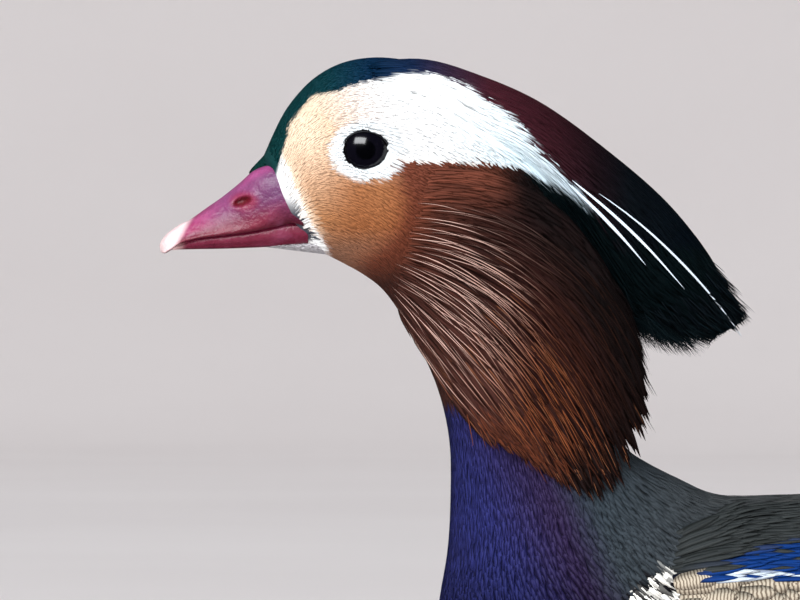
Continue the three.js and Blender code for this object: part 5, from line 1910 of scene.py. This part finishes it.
@dataclass
class BodyPlumage:
    """Feathers of neck, breast, back, belly and rear."""

    form: BodyForm
    surface: Surface

    def build(self) -> None:
        """Four beds, each with its own size of feather."""
        all_round = lambda v: 1.0
        top = lambda v: ease(np.abs(v - 0.5), 0.26, 0.3)
        under = lambda v: 1 - ease(np.abs(v - 0.5), 0.3, 0.34)
        self.bed("neck_plumage", 9000, (17.2, 11.2), (7.0, 0.5), 41, "neck", all_round)
        self.bed("breast_plumage", 11000, (11.8, 6.6), (8.5, 0.95), 43, "breast", all_round)
        self.bed("back_plumage", 6800, (9.0, 0.0), (12, 1.5), 47, "wing", top)
        self.bed("belly_plumage", 4600, (7.2, 0.0), (11, 1.8), 53, "breast", under)

    def bed(self, name: str, count: int, slices: tuple[float, float], size: tuple[float, float], seed: int, slot: str,
            share: Callable[[Array], Array]) -> None:
        """One bed of feathers.

        Args:
            name: Name of the piece.
            count: How many feathers.
            slices: Slices of the form that it begins and ends at.
            size: Length and half width.
            seed: Seed of the bed.
            slot: Material slot.
            share: Density by v.
        """
        rng = np.random.default_rng(seed)
        first, last = map(self.form.share, slices)
        inside = lambda u, v, p: (u > first) * (u < last) * share(v)
        u, v = self.surface.scatter(count, inside, rng)
        tail = ease(u, 0.9, 1.0)
        length = size[0] * rng.uniform(0.85, 1.15, len(u)) * (1 - 0.2 * tail)
        half = size[1] * rng.uniform(0.85, 1.15, len(u)) * (1 - 0.3 * tail)
        plumes = Plumes.grow(self.surface, (u, v), length, half, heading=rng.normal(0, 0.04, len(u)), cut=Cut.POINT,
                             steps=2, sink=0.12 + 0.3 * size[1], lift=0.03 + 0.04 * rng.random(len(u)), curve=0.2,
                             ridge=0.04)
        colour, gloss = Markings.body(plumes.line[:, 1:].mean(axis=1) + rng.normal(0, 0.25, (len(u), 3)))
        plumes.paint(colour * (1 + rng.normal(0, 0.04, (len(u), 1))), gloss=gloss, rng=rng)
        finish = PlumageFinish(name="body_plumage", streaks=0.1, streak_count=6.0, relief=0.1, specular=0.12)
        plumes.mesh().build(name, finish, slot)


@dataclass
class Patch:
    """An area of the side view laid on the body, for large side feathers.

    A row holds x and z of the upper edge and x and z of the lower edge. The area lies the bed's height over the skin,
    and no nearer to the middle plane than rear, which falls to half along it.
    """

    form: BodyForm
    rows: Array
    rear: float = 0.0
    bed: float = 1.0

    def surface(self, side: Side) -> Surface:
        """The area on one side, with u from front to rear and v from upper to lower edge.

        Args:
            side: Side of the bird.

        Returns:
            The surface.
        """
        def formula(u: Array, v: Array) -> Array:
            """Point at u and v.

            Args:
                u: u of the points.
                v: v of the points.

            Returns:
                The points.
            """
            top_x, top_z, low_x, low_z = curves(self.rows, u * (len(self.rows) - 1))
            x, z = top_x + (low_x - top_x) * v, top_z + (low_z - top_z) * v
            skin = self.form.width_at(x, z, 0, self.form.neck_base) + self.bed
            return np.stack([x, side.value * np.maximum(skin, self.rear * (1 - 0.5 * u)), z], axis=-1)

        return Surface.sample(formula, 120, 60, np.array([0, side.value, 0]))


@dataclass
class Flank:
    """Finely barred golden flank feathers, the rear ones edged black and white."""

    form: BodyForm
    rows: Array = table(
        (-70, 138.4, -76, 94), (-40, 139.6, -52, 74), (-14, 137.6, -20, 66), (8, 131, 8, 65), (24, 125, 34, 71),
        (50, 119, 58, 84), (78, 111, 80, 101))
    count: int = 1050
    seed: int = 61

    def build(self) -> None:
        """Tiers of broad feathers on each side."""
        finish = PlumageFinish(name="flank_feathers", bar=tuple(tint(70, 52, 38)), bar_count=30.0, streaks=0.1,
                               streak_count=12.0)
        for side in Side:
            rng = np.random.default_rng(self.seed)
            surface = Patch(self.form, self.rows).surface(side)
            u, v = surface.scatter(self.count, lambda a, b, p: a < 0.9, rng)
            length = rng.uniform(14, 20, len(u)) * (0.75 + 0.5 * u)
            plumes = Plumes.grow(surface, (u, v), length, rng.uniform(2.3, 3.2, len(u)),
                                 heading=rng.normal(-0.05, 0.05, len(u)), cut=Cut.BROAD, steps=6, sink=1.0,
                                 lift=0.25 + 0.25 * rng.random(len(u)), curve=0.5, ridge=0.04)
            t = plumes.places
            rear = ease(u, 0.62, 0.82) * (1 - ease(v, 0.5, 0.8))
            white = (t > 0.74) & (t < 0.9)
            black = (t > 0.6) & ~white
            colour = Markings.GOLD * (1 + rng.normal(0, 0.08, (len(u), 1, 1)))
            pale = np.maximum(0.7 * ease(v, 0.6, 1.0), 0.75 * (1 - ease(v, 0.1, 0.4)) * (1 - ease(u, 0.3, 0.6)))
            colour = blend(colour, tint(176, 174, 164), pale[:, None])
            colour = blend(colour, Markings.BLACK, rear[:, None] * black)
            colour = blend(colour, Markings.WHITE, rear[:, None] * white)
            plumes.paint(colour, gloss=0.05, bars=(1 - rear) * 0.75, rng=rng).mesh().build(
                f"flank_{side.label}_feathers", finish, "flank", (f"flank_{side.label}",))


@dataclass
class Scapulars:
    """Shoulder feathers: bronze above, blue and white edged below."""

    form: BodyForm
    rows: Array = table(
        (-70, 149.5, -70, 138.6), (-54, 155.6, -54, 138.8), (-40, 156.6, -40, 139.1), (-14, 157, -14, 138.9),
        (8, 156.4, 8, 142.6), (26, 154, 26, 149.6))
    count: int = 900
    seed: int = 67

    def build(self) -> None:
        """Rows of long feathers on each side."""
        finish = PlumageFinish(name="shoulder_feathers", shaft=tuple(tint(20, 22, 30)), shaft_width=0.14,
                               streaks=0.25, streak_count=14.0)
        for side in Side:
            rng = np.random.default_rng(self.seed)
            surface = Patch(self.form, self.rows, bed=1.6).surface(side)
            u, v = surface.scatter(self.count, lambda a, b, p: a < 0.86, rng)
            length = rng.uniform(15, 22, len(u)) * (0.8 + 0.4 * u)
            plumes = Plumes.grow(surface, (u, v), length, rng.uniform(0.8, 1.35, len(u)),
                                 heading=rng.normal(0.02, 0.04, len(u)), cut=Cut.LANCE, steps=5, sink=1.3,
                                 lift=0.2 + 0.3 * rng.random(len(u)), curve=0.5, ridge=0.05)
            pick, t = rng.random(len(u)), plumes.places
            level = v - np.interp(plumes.line[:, 3, 0], [-62, -36, 10], [0.84, 0.4, 0.38])
            blue = (pick < 0.85) * ease(level, -0.06, 0.06)
            pale = (pick > 0.45) * ease(v, 0.84, 0.9)
            colour = tint(52, 56, 56) * (1 + rng.normal(0, 0.1, (len(u), 1, 1)))
            colour = blend(colour, tint(14, 18, 30), blue[:, None] * (1 - ease(t, 0.1, 0.6)))
            colour = blend(colour, tint(8, 54, 122), blue[:, None] * ease(t, 0.1, 0.6))
            colour = blend(colour, tint(206, 218, 230), pale[:, None] * ease(t, 0.3, 0.6))
            plumes.paint(colour, shaft=0.5, gloss=0.3 * blue + 0.1, rng=rng).mesh().build(
                f"scapulars_{side.label}_feathers", finish, "scapulars", (f"scapulars_{side.label}",))


@dataclass
class Wing:
    """Folded wing: flight feathers with silvery edges under rows of coverts, and the sail over them."""

    form: BodyForm
    rows: Array = table(
        (-14, 139.1, -14, 137.8), (8, 142.6, 8, 131.5), (24, 149.6, 24, 125.2), (50, 150.4, 50, 119.2),
        (78, 147.6, 78, 119), (108, 142.2, 108, 126.6), (138, 138.4, 138, 134.6))
    sail_rows: Array = table(
        (28, 143, 72, 141), (30, 164, 84, 160), (38, 182, 86, 178), (49, 195, 79, 191), (60, 203, 67, 202))
    rear_out: float = 23.0
    seed: int = 71
    sail_out: float = 23.0

    def build(self) -> None:
        """Both wings, each of five tiers from the flight feathers up, and both sails."""
        finish = PlumageFinish(name="wing_feathers", shaft=tuple(tint(34, 30, 28)), shaft_width=0.08, streaks=0.2,
                               streak_count=26.0, glossy=0.25, relief=0.5)
        for side in Side:
            rng = np.random.default_rng(self.seed)
            surface = Patch(self.form, self.rows, self.rear_out, 1.3).surface(side)
            parts = [self.tier(surface, rng, *row) for row in (
                (0.42, 9, 0.5, 0.9, 60, 3.4, tint(92, 90, 84), tint(190, 196, 200), 0.6),
                (0.34, 9, 0.22, 0.86, 46, 3.8, tint(54, 58, 58), tint(40, 110, 120), 1.1),
                (0.22, 10, 0.16, 0.86, 32, 3.6, tint(84, 78, 66), tint(70, 64, 54), 1.7),
                (0.1, 12, 0.1, 0.88, 22, 3.2, tint(96, 90, 76), tint(80, 74, 62), 2.2),
                (0.02, 12, 0.1, 0.9, 16, 2.8, tint(90, 84, 72), tint(74, 68, 58), 2.6))]
            MeshData.join(parts).build(f"wing_{side.label}_feathers", finish, "wing", (f"wing_{side.label}",))
            self.sail(side)

    def tier(self, surface: Surface, rng: np.random.Generator, start: float, count: int, high: float, low: float,
             length: float, half: float, inner: Array, outer: Array, lift: float) -> MeshData:
        """One row of feathers.

        Args:
            surface: The wing's area.
            rng: Source of variation.
            start: u of the roots.
            count: Feathers in the row.
            high: v of the first.
            low: v of the last.
            length: Length of the longest.
            half: Half width.
            inner: Colour of the vane.
            outer: Colour of its tip.
            lift: Height of the tips.

        Returns:
            The row's mesh.
        """
        v = np.linspace(high, low, count) + rng.normal(0, 0.006, count)
        u = start + rng.normal(0, 0.006, count)
        lengths = length * np.linspace(1, 0.82, count) * rng.uniform(0.97, 1.03, count)
        plumes = Plumes.grow(surface, (u, v), lengths, half, heading=rng.normal(0, 0.02, count), cut=Cut.BROAD,
                             steps=12, sink=0.6, lift=lift, curve=0.6, ridge=0.14, across=7)
        colour = blend(inner, outer, 0.8 * ease(plumes.places, 0.55, 0.95)[None])
        return plumes.paint(colour, shaft=0.8, gloss=0.25, rng=rng).mesh()

    def sail(self, side: Side) -> None:
        """Upright vane between its front and rear edge, curled outwards and back in, with a round shaft: the outline is
        a smooth curve through the edge points, and the curl is a sine across times the height.

        Args:
            side: Side of the bird.
        """
        a, b = lattice(90, 44)
        front_x, front_z, rear_x, rear_z = curves(self.sail_rows, a * (len(self.sail_rows) - 1))
        curl = 3.5 * np.sin(math.pi * b) * a - 5 * a * a
        barbs = 0.12 * np.sin((b * 9 + a * 30) * 3.0) * np.sin(math.pi * b)
        notch = 0.5 * np.sin(a * 150) * ease(np.abs(b - 0.5), 0.44, 0.5)
        x, z = front_x + (rear_x - front_x) * b, front_z + (rear_z - front_z) * b
        shaft = 0.62 + 0.1 * a
        ridge = 0.9 * (1 - 0.5 * a) * np.exp(-(((b - shaft) / 0.018) ** 2))
        out = self.sail_out + curl + barbs
        face = lambda offset: np.stack([x + notch, side.value * (out + offset), z + 0.3 * notch], axis=-1)
        ring = folded(face(0.35 + ridge), face(-0.35 - ridge))
        edge, up, middle = folded(b, b), folded(a, a), folded(shaft, shaft)
        colour = blend(tint(206, 112, 44), tint(232, 168, 92), ease(-edge, -0.3, -0.05))
        colour = blend(colour, tint(244, 236, 220), (1 - ease(edge, 0.015, 0.06)) * ease(up, 0.1, 0.3))
        colour = blend(colour, tint(20, 34, 66), ease(edge - middle, 0.06, 0.1) * (1 - ease(up, 0.35, 0.75)))
        colour = blend(colour, tint(26, 18, 14), ease(edge, 0.95, 0.985) + ease(up, 0.975, 0.99))
        colour = blend(colour, tint(120, 58, 24), np.exp(-(((edge - middle) / 0.014) ** 2)))
        finish = PlumageFinish(name="sail_vane", streaks=0.16, streak_count=60.0)
        MeshData.bar(ring, np.clip(colour, 0, 1), 0.15).build(f"sail_{side.label}", finish, "sail")


@dataclass
class Tail:
    """Tail feathers with coverts above and below."""

    root_x: float = 127.0
    root_z: float = 127.6
    length: float = 66.0
    base: float = 9.0
    spread: float = 19.0
    feathers: int = 14
    coverts: int = 190
    seed: int = 83

    def fan(self, u: Array, v: Array) -> Array:
        """Point of the fan, u along it and v from one side to the other.

        Args:
            u: u of the points.
            v: v of the points.

        Returns:
            The points.
        """
        c = 2 * v - 1
        x, y = self.root_x + self.length * u * (1 - 0.13 * c * c), c * (self.base + (self.spread - self.base) * u)
        return np.stack([x, y, self.root_z + 3 * u - 3 * c * c * (0.4 + u)], axis=-1)

    def cover(self, turn: int) -> Surface:
        """Surface of the coverts above (turn 1) or below (turn -1): from the rump's oval to the fan.

        Args:
            turn: 1 above the tail and -1 below it.

        Returns:
            The surface.
        """
        def formula(u: Array, v: Array) -> Array:
            """Point at u and v.

            Args:
                u: u of the points.
                v: v of the points.

            Returns:
                The points.
            """
            angle = (v - 0.5) * math.pi
            z = 121.5 + turn * (12.5 if turn > 0 else 17) * np.cos(angle)
            start = np.stack([np.full(u.shape, 112.0), 19 * np.sin(angle), z], axis=-1)
            end = self.fan(np.full(u.shape, 0.72), v) + [0, 0, 1.6 * turn]
            middle = (start + end) / 2 + [0, 0, 2.0 * turn]
            s = u[..., None]
            return start * (1 - s) ** 2 + 2 * middle * s * (1 - s) + end * s * s

        return Surface.sample(formula, 60, 60, np.array([0, 0, turn]))

    def build(self) -> None:
        """Vanes in pairs, the middle pair on top, then the coverts and a bed under them."""
        rng = np.random.default_rng(self.seed)
        surface = Surface.sample(self.fan, 60, 60, np.array([0, 0, 1]))
        rank = np.arange(self.feathers) - (self.feathers - 1) / 2
        v = 0.5 + rank / (self.feathers - 1) * 0.86
        level = 1.3 - 0.32 * np.abs(rank) + 0.12 * np.sign(rank)
        length = self.length * (0.97 - 0.012 * np.abs(rank))
        plumes = Plumes.grow(surface, (np.full(self.feathers, 0.02), v), length, 4.6, heading=0.02 * np.sign(rank),
                             cut=Cut.BROAD, steps=16, sink=-level, lift=level, ridge=0.1, across=9)
        colour = blend(tint(58, 54, 42), tint(30, 44, 38), ease(plumes.places, 0.2, 0.9)[None])
        parts = [plumes.paint(colour, shaft=0.6, gloss=0.4, rng=rng).mesh()]
        for turn in (1, -1):
            cover = self.cover(turn)
            u, v = cover.scatter(self.coverts, lambda a, b, p: a < 0.7, rng)
            made = Plumes.grow(cover, (u, v), rng.uniform(13, 19, len(u)), rng.uniform(2.4, 3.4, len(u)),
                               heading=rng.normal(0, 0.05, len(u)), steps=5, sink=1.6, lift=0.5, ridge=0.14, across=5)
            base = tint(52, 58, 46) if turn > 0 else tint(232, 230, 222)
            parts.append(made.paint(base * (1 + rng.normal(0, 0.08, (len(u), 1))), gloss=0.2, rng=rng).mesh())
            u, v = lattice(30, 30)
            ring = folded(cover.at(u, v, -0.8), cover.at(u, v, -1.5))
            # painted shade: the bed under the coverts takes their colour darkened
            parts.append(MeshData.bar(ring, base * 0.7))
        finish = PlumageFinish(name="tail_feathers", shaft=tuple(tint(20, 18, 16)), shaft_width=0.07, streaks=0.2,
                               streak_count=28.0, glossy=0.25, relief=0.5)
        MeshData.join(parts).build("tail_feathers", finish, "tail", ("tail",))


@dataclass
class Legs:
    """Feathered thighs, scaly shanks, and webbed feet with claws.

    A row of thigh and shank holds x, y outwards, z and radius, and a toe holds its turn outwards in degrees and its
    length. The stride is how far forward or back a foot stands.
    """

    down: Array = table((4, 25, 74, 15), (8, 24, 54, 9.5), (16, 22.5, 41, 4.2))
    shank: Array = table(
        (16, 22.5, 42.5, 4.0), (14.5, 22.4, 37, 3.5), (9, 22, 22, 2.7), (3.5, 21.7, 11, 2.9), (1, 21.5, 5.5, 3.6),
        (0.5, 21.5, 2.6, 3.0))
    toe_shares: Array = table(0.0, 0.16, 0.3, 0.36, 0.6, 0.66, 0.86, 1.0)
    toe_radii: Array = table(2.9, 2.4, 2.0, 2.4, 1.75, 2.1, 1.8, 1.2)
    ankle: tuple[float, float] = (1, 21.5)
    stride: dict[Side, float] = field(default_factory=lambda: {Side.LEFT: -5.0, Side.RIGHT: 5.0})
    toes: tuple[tuple[float, float], ...] = ((-24, 41), (3, 52), (30, 48))
    hind: tuple[float, float] = (176, 13)
    claw: float = 6.0
    scute: float = 3.2
    seed: int = 91
    orange: Array = table(*tint(196, 128, 52))
    dark: Array = table(*tint(64, 52, 40))

    def tube(self, rows: Array, side: Side, steps: int, around: int, ripple: float = 0.0, rings: float = 0.0) -> Array:
        """Rings of a bar through rows of x, y outwards, z and radius, each square to its path, swelling in scutes.

        Args:
            rows: Path.
            side: Side of the bird.
            steps: Rings along it.
            around: Points round it.
            ripple: Height of the scutes as a share of the radius.
            rings: Number of scutes.

        Returns:
            Points (steps, around, 3).
        """
        place = np.linspace(0, len(rows) - 1, steps)
        values = spline(rows * [1, side.value, 1, 1], place)
        path, radius = values[:, :3], values[:, 3]
        axis = unit(np.gradient(path, axis=0))
        across = unit(np.cross(np.array([0.0, 1.0, 0.0]), axis))
        other = np.cross(axis, across)
        turn = (np.arange(around) * TAU / around)[None, :, None]
        scutes = np.abs(np.sin(np.linspace(0, 1, steps) * math.pi * rings))[:, None, None]
        swell = 1 + ripple * scutes * np.maximum(np.cos(turn), 0)
        ring = across[:, None] * np.cos(turn) + other[:, None] * np.sin(turn)
        return path[:, None] + ring * radius[:, None, None] * swell

    def moved(self, rows: Array, side: Side, shares: list[float]) -> Array:
        """Rows moved along by their share of the side's stride.

        Args:
            rows: The rows.
            side: Side of the bird.
            shares: Share of the stride of each row.

        Returns:
            The moved rows.
        """
        shift = np.zeros_like(rows)
        shift[:, 0] = np.array(shares) * self.stride[side]
        return rows + shift

    def build(self) -> None:
        """Both legs."""
        for side in Side:
            self.thigh(side)
            shank = self.tube(self.moved(self.shank, side, [0.6, 0.65, 0.85, 0.95, 1, 1]), side, 120, 40, 0.16, 15)
            colour = blend(self.orange, self.dark, 0.35 * ease(shank[..., 2], 30, 43))
            MeshData.bar(shank, colour).build(
                f"shank_{side.label}_scales", LegFinish(), "leg", (f"shank_{side.label}",))
            self.foot(side)

    def thigh(self, side: Side) -> None:
        """Cone of soft flesh with short feathers that thin out at the hock.

        Args:
            side: Side of the bird.
        """
        rows = self.moved(self.down, side, [0, 0.3, 0.6])
        core = self.tube(rows - [0, 0, 0, 1.4], side, 40, 40)
        rng = np.random.default_rng(self.seed)
        tall, wide = 60, 61
        shell = self.tube(rows, side, tall, wide - 1)
        shell = np.concatenate([shell, shell[:, :1]], axis=1)
        slope_u, slope_v = np.gradient(shell, axis=0) * (tall - 1), np.gradient(shell, axis=1) * (wide - 1)
        normals = unit(shell - shell[:, :-1].mean(axis=1, keepdims=True))
        surface = Surface(shell, normals, slope_u, slope_v, True)
        u, v = surface.scatter(1300, lambda a, b, p: (a < 0.93) * (a > 0.1), rng)
        length, half = rng.uniform(5, 8, len(u)) * (1 - 0.45 * u), rng.uniform(0.8, 1.3, len(u)) * (1 - 0.4 * u)
        plumes = Plumes.grow(surface, (u, v), length, half, heading=rng.normal(0, 0.1, len(u)), lift=0.3, ridge=0.25)
        colour = blend(tint(206, 190, 160), tint(170, 120, 70), ease(u, 0.6, 1))
        parts = [MeshData.bar(core, tint(170, 150, 120)), plumes.paint(colour, rng=rng).mesh()]
        MeshData.join(parts).build(f"thigh_{side.label}_feathers", PlumageFinish(name="thigh_plumage", streaks=0.12),
                                   "leg", (f"thigh_{side.label}",))

    def toe(self, side: Side, turn: float, length: float, base: tuple[float, float], small: float) -> list[MeshData]:
        """One toe with three pads under scutes, and its claw.

        Args:
            side: Side of the bird.
            turn: Degrees outwards from straight ahead.
            length: Length with the claw.
            base: x and outward y of the ankle.
            small: Scale of its thickness.

        Returns:
            Meshes of toe and claw.
        """
        way_x, way_y = -math.cos(math.radians(turn)), math.sin(math.radians(turn))
        claw, steps = self.claw * small, 70
        share, thick = self.toe_shares * (length - claw), self.toe_radii * small
        rows = np.stack([base[0] + way_x * share, base[1] + way_y * share, thick * 0.86 + 0.1, thick], axis=-1)
        points = self.tube(rows, side, steps, 24)
        scute = 0.22 * small * np.abs(np.sin(np.linspace(0, 1, steps) * math.pi * length / self.scute))[:, None]
        top = np.maximum(unit(points - points.mean(axis=1, keepdims=True))[..., 2], 0)
        points[..., 2] = np.maximum(points[..., 2] + scute * top, 0.03)
        colour = blend(self.orange, self.dark, 0.5 * (1 - ease(points[..., 2], 0.2, 1.8)))
        t = np.linspace(0, 1, 12)
        reach = length - claw - 1.0 + (claw + 1.0) * t
        high = 1.5 * small + 0.5 * np.sin(t * 2.2) - 1.3 * small * t**2 + 0.1
        radius = 1.15 * small * (1 - t) ** 0.7 + 0.06
        nail = np.stack([base[0] + way_x * reach, base[1] + way_y * reach, high, radius], axis=-1)
        horn = np.maximum(self.tube(nail, side, 22, 14), [-np.inf, -np.inf, 0.02])
        return [MeshData.bar(points, colour),
                MeshData.bar(horn, tint(34, 28, 26))]

    def foot(self, side: Side) -> None:
        """Toes, claws and the two webs, which sag between the toes and are creased along them.

        Args:
            side: Side of the bird.
        """
        base = (self.ankle[0] + self.stride[side], self.ankle[1])
        toes = [self.toe(side, *toe, base, 1.0) for toe in self.toes] + [self.toe(side, *self.hind, base, 0.7)]
        parts = [t[0] for t in toes]
        for (turn_a, long_a), (turn_b, long_b) in zip(self.toes[:-1], self.toes[1:]):
            a, b = lattice(30, 34, (0.04, 1), (0.01, 0.99))
            turn = np.radians(turn_a + (turn_b - turn_a) * b)
            reach = (long_a + (long_b - long_a) * b) * a * (0.84 - 0.2 * np.sin(math.pi * b))
            x, y = base[0] - np.cos(turn) * reach, side.value * (base[1] + np.sin(turn) * reach)
            arch = np.sin(math.pi * b)
            crease = 0.12 * np.sin(b * 40 + 3 * a) * arch + 0.08 * np.sin(a * 60)
            sheets = (1.15 - 0.25 * arch + crease, np.full(x.shape, 0.12))
            ring = folded(*(np.stack([x, y, z], axis=-1) for z in sheets))
            colour = blend(tint(84, 66, 46), tint(30, 26, 24), ease(folded(arch, arch), 0.1, 0.7))
            parts.append(MeshData.bar(ring, colour))
        MeshData.join(parts).build(f"foot_{side.label}_scales", LegFinish(), "foot", (f"foot_{side.label}",))
        horn = HornFinish(name="claw_horn", rough=0.4)
        MeshData.join([t[1] for t in toes]).build(f"claws_{side.label}", horn, "foot")


@dataclass
class Studio:
    """Floor, lights and camera."""

    distance: float = 2.0
    middle: tuple[float, float] = (-0.1342, 0.2056)
    frame_width: float = 0.1952
    sensor: float = 36.0

    def build(self) -> None:
        """Everything round the bird."""
        self.floor()
        self.lights()
        self.camera()

    def floor(self) -> None:
        """Round floor whose rim sweeps up into a low wall: a quarter circle carried round the middle."""
        sweep = np.linspace(0, math.pi / 2, 16)
        radius = np.concatenate([[0.001, 1, 3, 6], 9 + 3 * np.sin(sweep), [12, 12]])[:, None]
        height = np.concatenate([[0, 0, 0, 0], 3 * (1 - np.cos(sweep)), [4.5, 6]])[:, None]
        turn = np.linspace(0, TAU, 97)[None]
        points = np.broadcast_arrays(radius * np.cos(turn), radius * np.sin(turn), height)
        data = MeshData.grid(np.stack(points, axis=-1), np.zeros(3))
        mesh = bpy.data.meshes.new("floor")
        mesh.from_pydata(data.points.tolist(), [], data.quads.tolist())
        mesh.shade_smooth()
        piece = bpy.data.objects.new("floor", mesh)
        piece.data.materials.append(FloorFinish().material())
        piece.visible_glossy = False
        bpy.context.scene.collection.objects.link(piece)
        piece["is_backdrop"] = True

    def light(self, name: str, place: tuple[float, float, float], aim: tuple[float, float, float], size: float,
              power: float, colour: tuple[float, float, float], mirrored: bool = True) -> None:
        """A soft light, wider than tall, that faces a point.

        Args:
            name: Name of the light.
            place: Where it stands, in metres.
            aim: Point that it faces.
            size: Its size: 1.3 times that wide and 0.75 times that tall.
            power: Power in watts.
            colour: Colour of the light.
            mirrored: Whether glossy things mirror it.
        """
        lamp = bpy.data.lights.new(name, "AREA")
        lamp.shape, lamp.size, lamp.size_y = "RECTANGLE", size * 1.3, size * 0.75
        lamp.energy, lamp.color = power, colour
        holder = bpy.data.objects.new(name, lamp)
        bpy.context.scene.collection.objects.link(holder)
        holder.location = place
        way = Vector(aim) - Vector(place)
        holder.rotation_mode = "QUATERNION"
        holder.rotation_quaternion = way.to_track_quat("-Z", "Y")
        holder.visible_glossy = mirrored

    def lights(self) -> None:
        """Broad key from above on the bird's left front, a cool fill, a rim light and a pale sky."""
        self.light("key", (-0.9, -1.9, 1.55), (-0.1, 0, 0.2), 1.2, 66, (0.96, 0.98, 1.0))
        self.light("fill", (1.4, -1.8, 0.8), (-0.1, 0, 0.18), 1.6, 9, (0.92, 0.96, 1.0), False)
        self.light("rim", (0.7, 1.6, 1.5), (-0.1, 0, 0.2), 1.2, 16, (0.95, 0.97, 1.0), False)
        world = bpy.data.worlds.new("sky")
        world.use_nodes = True
        world.cycles_visibility.glossy = False
        sky = world.node_tree.nodes["Background"].inputs
        sky["Color"].default_value = (0.86, 0.9, 0.95, 1)
        sky["Strength"].default_value = 1.02
        bpy.context.scene.world = world
        bpy.context.scene.view_settings.view_transform = "Standard"

    def camera(self) -> None:
        """Level long lens from the bird's left side, framed as wide as the picture."""
        data = bpy.data.cameras.new("camera")
        data.sensor_width = self.sensor
        data.lens = self.sensor * self.distance / self.frame_width
        data.clip_start, data.clip_end = 0.01, 100
        holder = bpy.data.objects.new("camera", data)
        holder.location = (self.middle[0], -self.distance, self.middle[1])
        holder.rotation_euler = (math.pi / 2, 0, 0)
        bpy.context.scene.collection.objects.link(holder)
        bpy.context.scene.camera = holder


def corners() -> list[list[float]]:
    """Lowest and highest corner of what shows, as plain lists."""
    return [list(map(float, corner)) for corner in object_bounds()]


def main() -> None:
    """Builds every sub-assembly in order."""
    logging.basicConfig(level=logging.INFO, format="%(message)s")
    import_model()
    form = BodyForm()
    surface = form.surface()
    for assembly in (Skin(form), Eyes(), Bill(), HeadPlumage(form, surface), Crest(form), Ruff(form),
                     BodyPlumage(form, surface), Scapulars(form), Flank(form), Wing(form), Tail(), Legs(), Studio()):
        LOG.info("building %s", type(assembly).__name__)
        assembly.build()


if __name__ == "__main__":
    main()
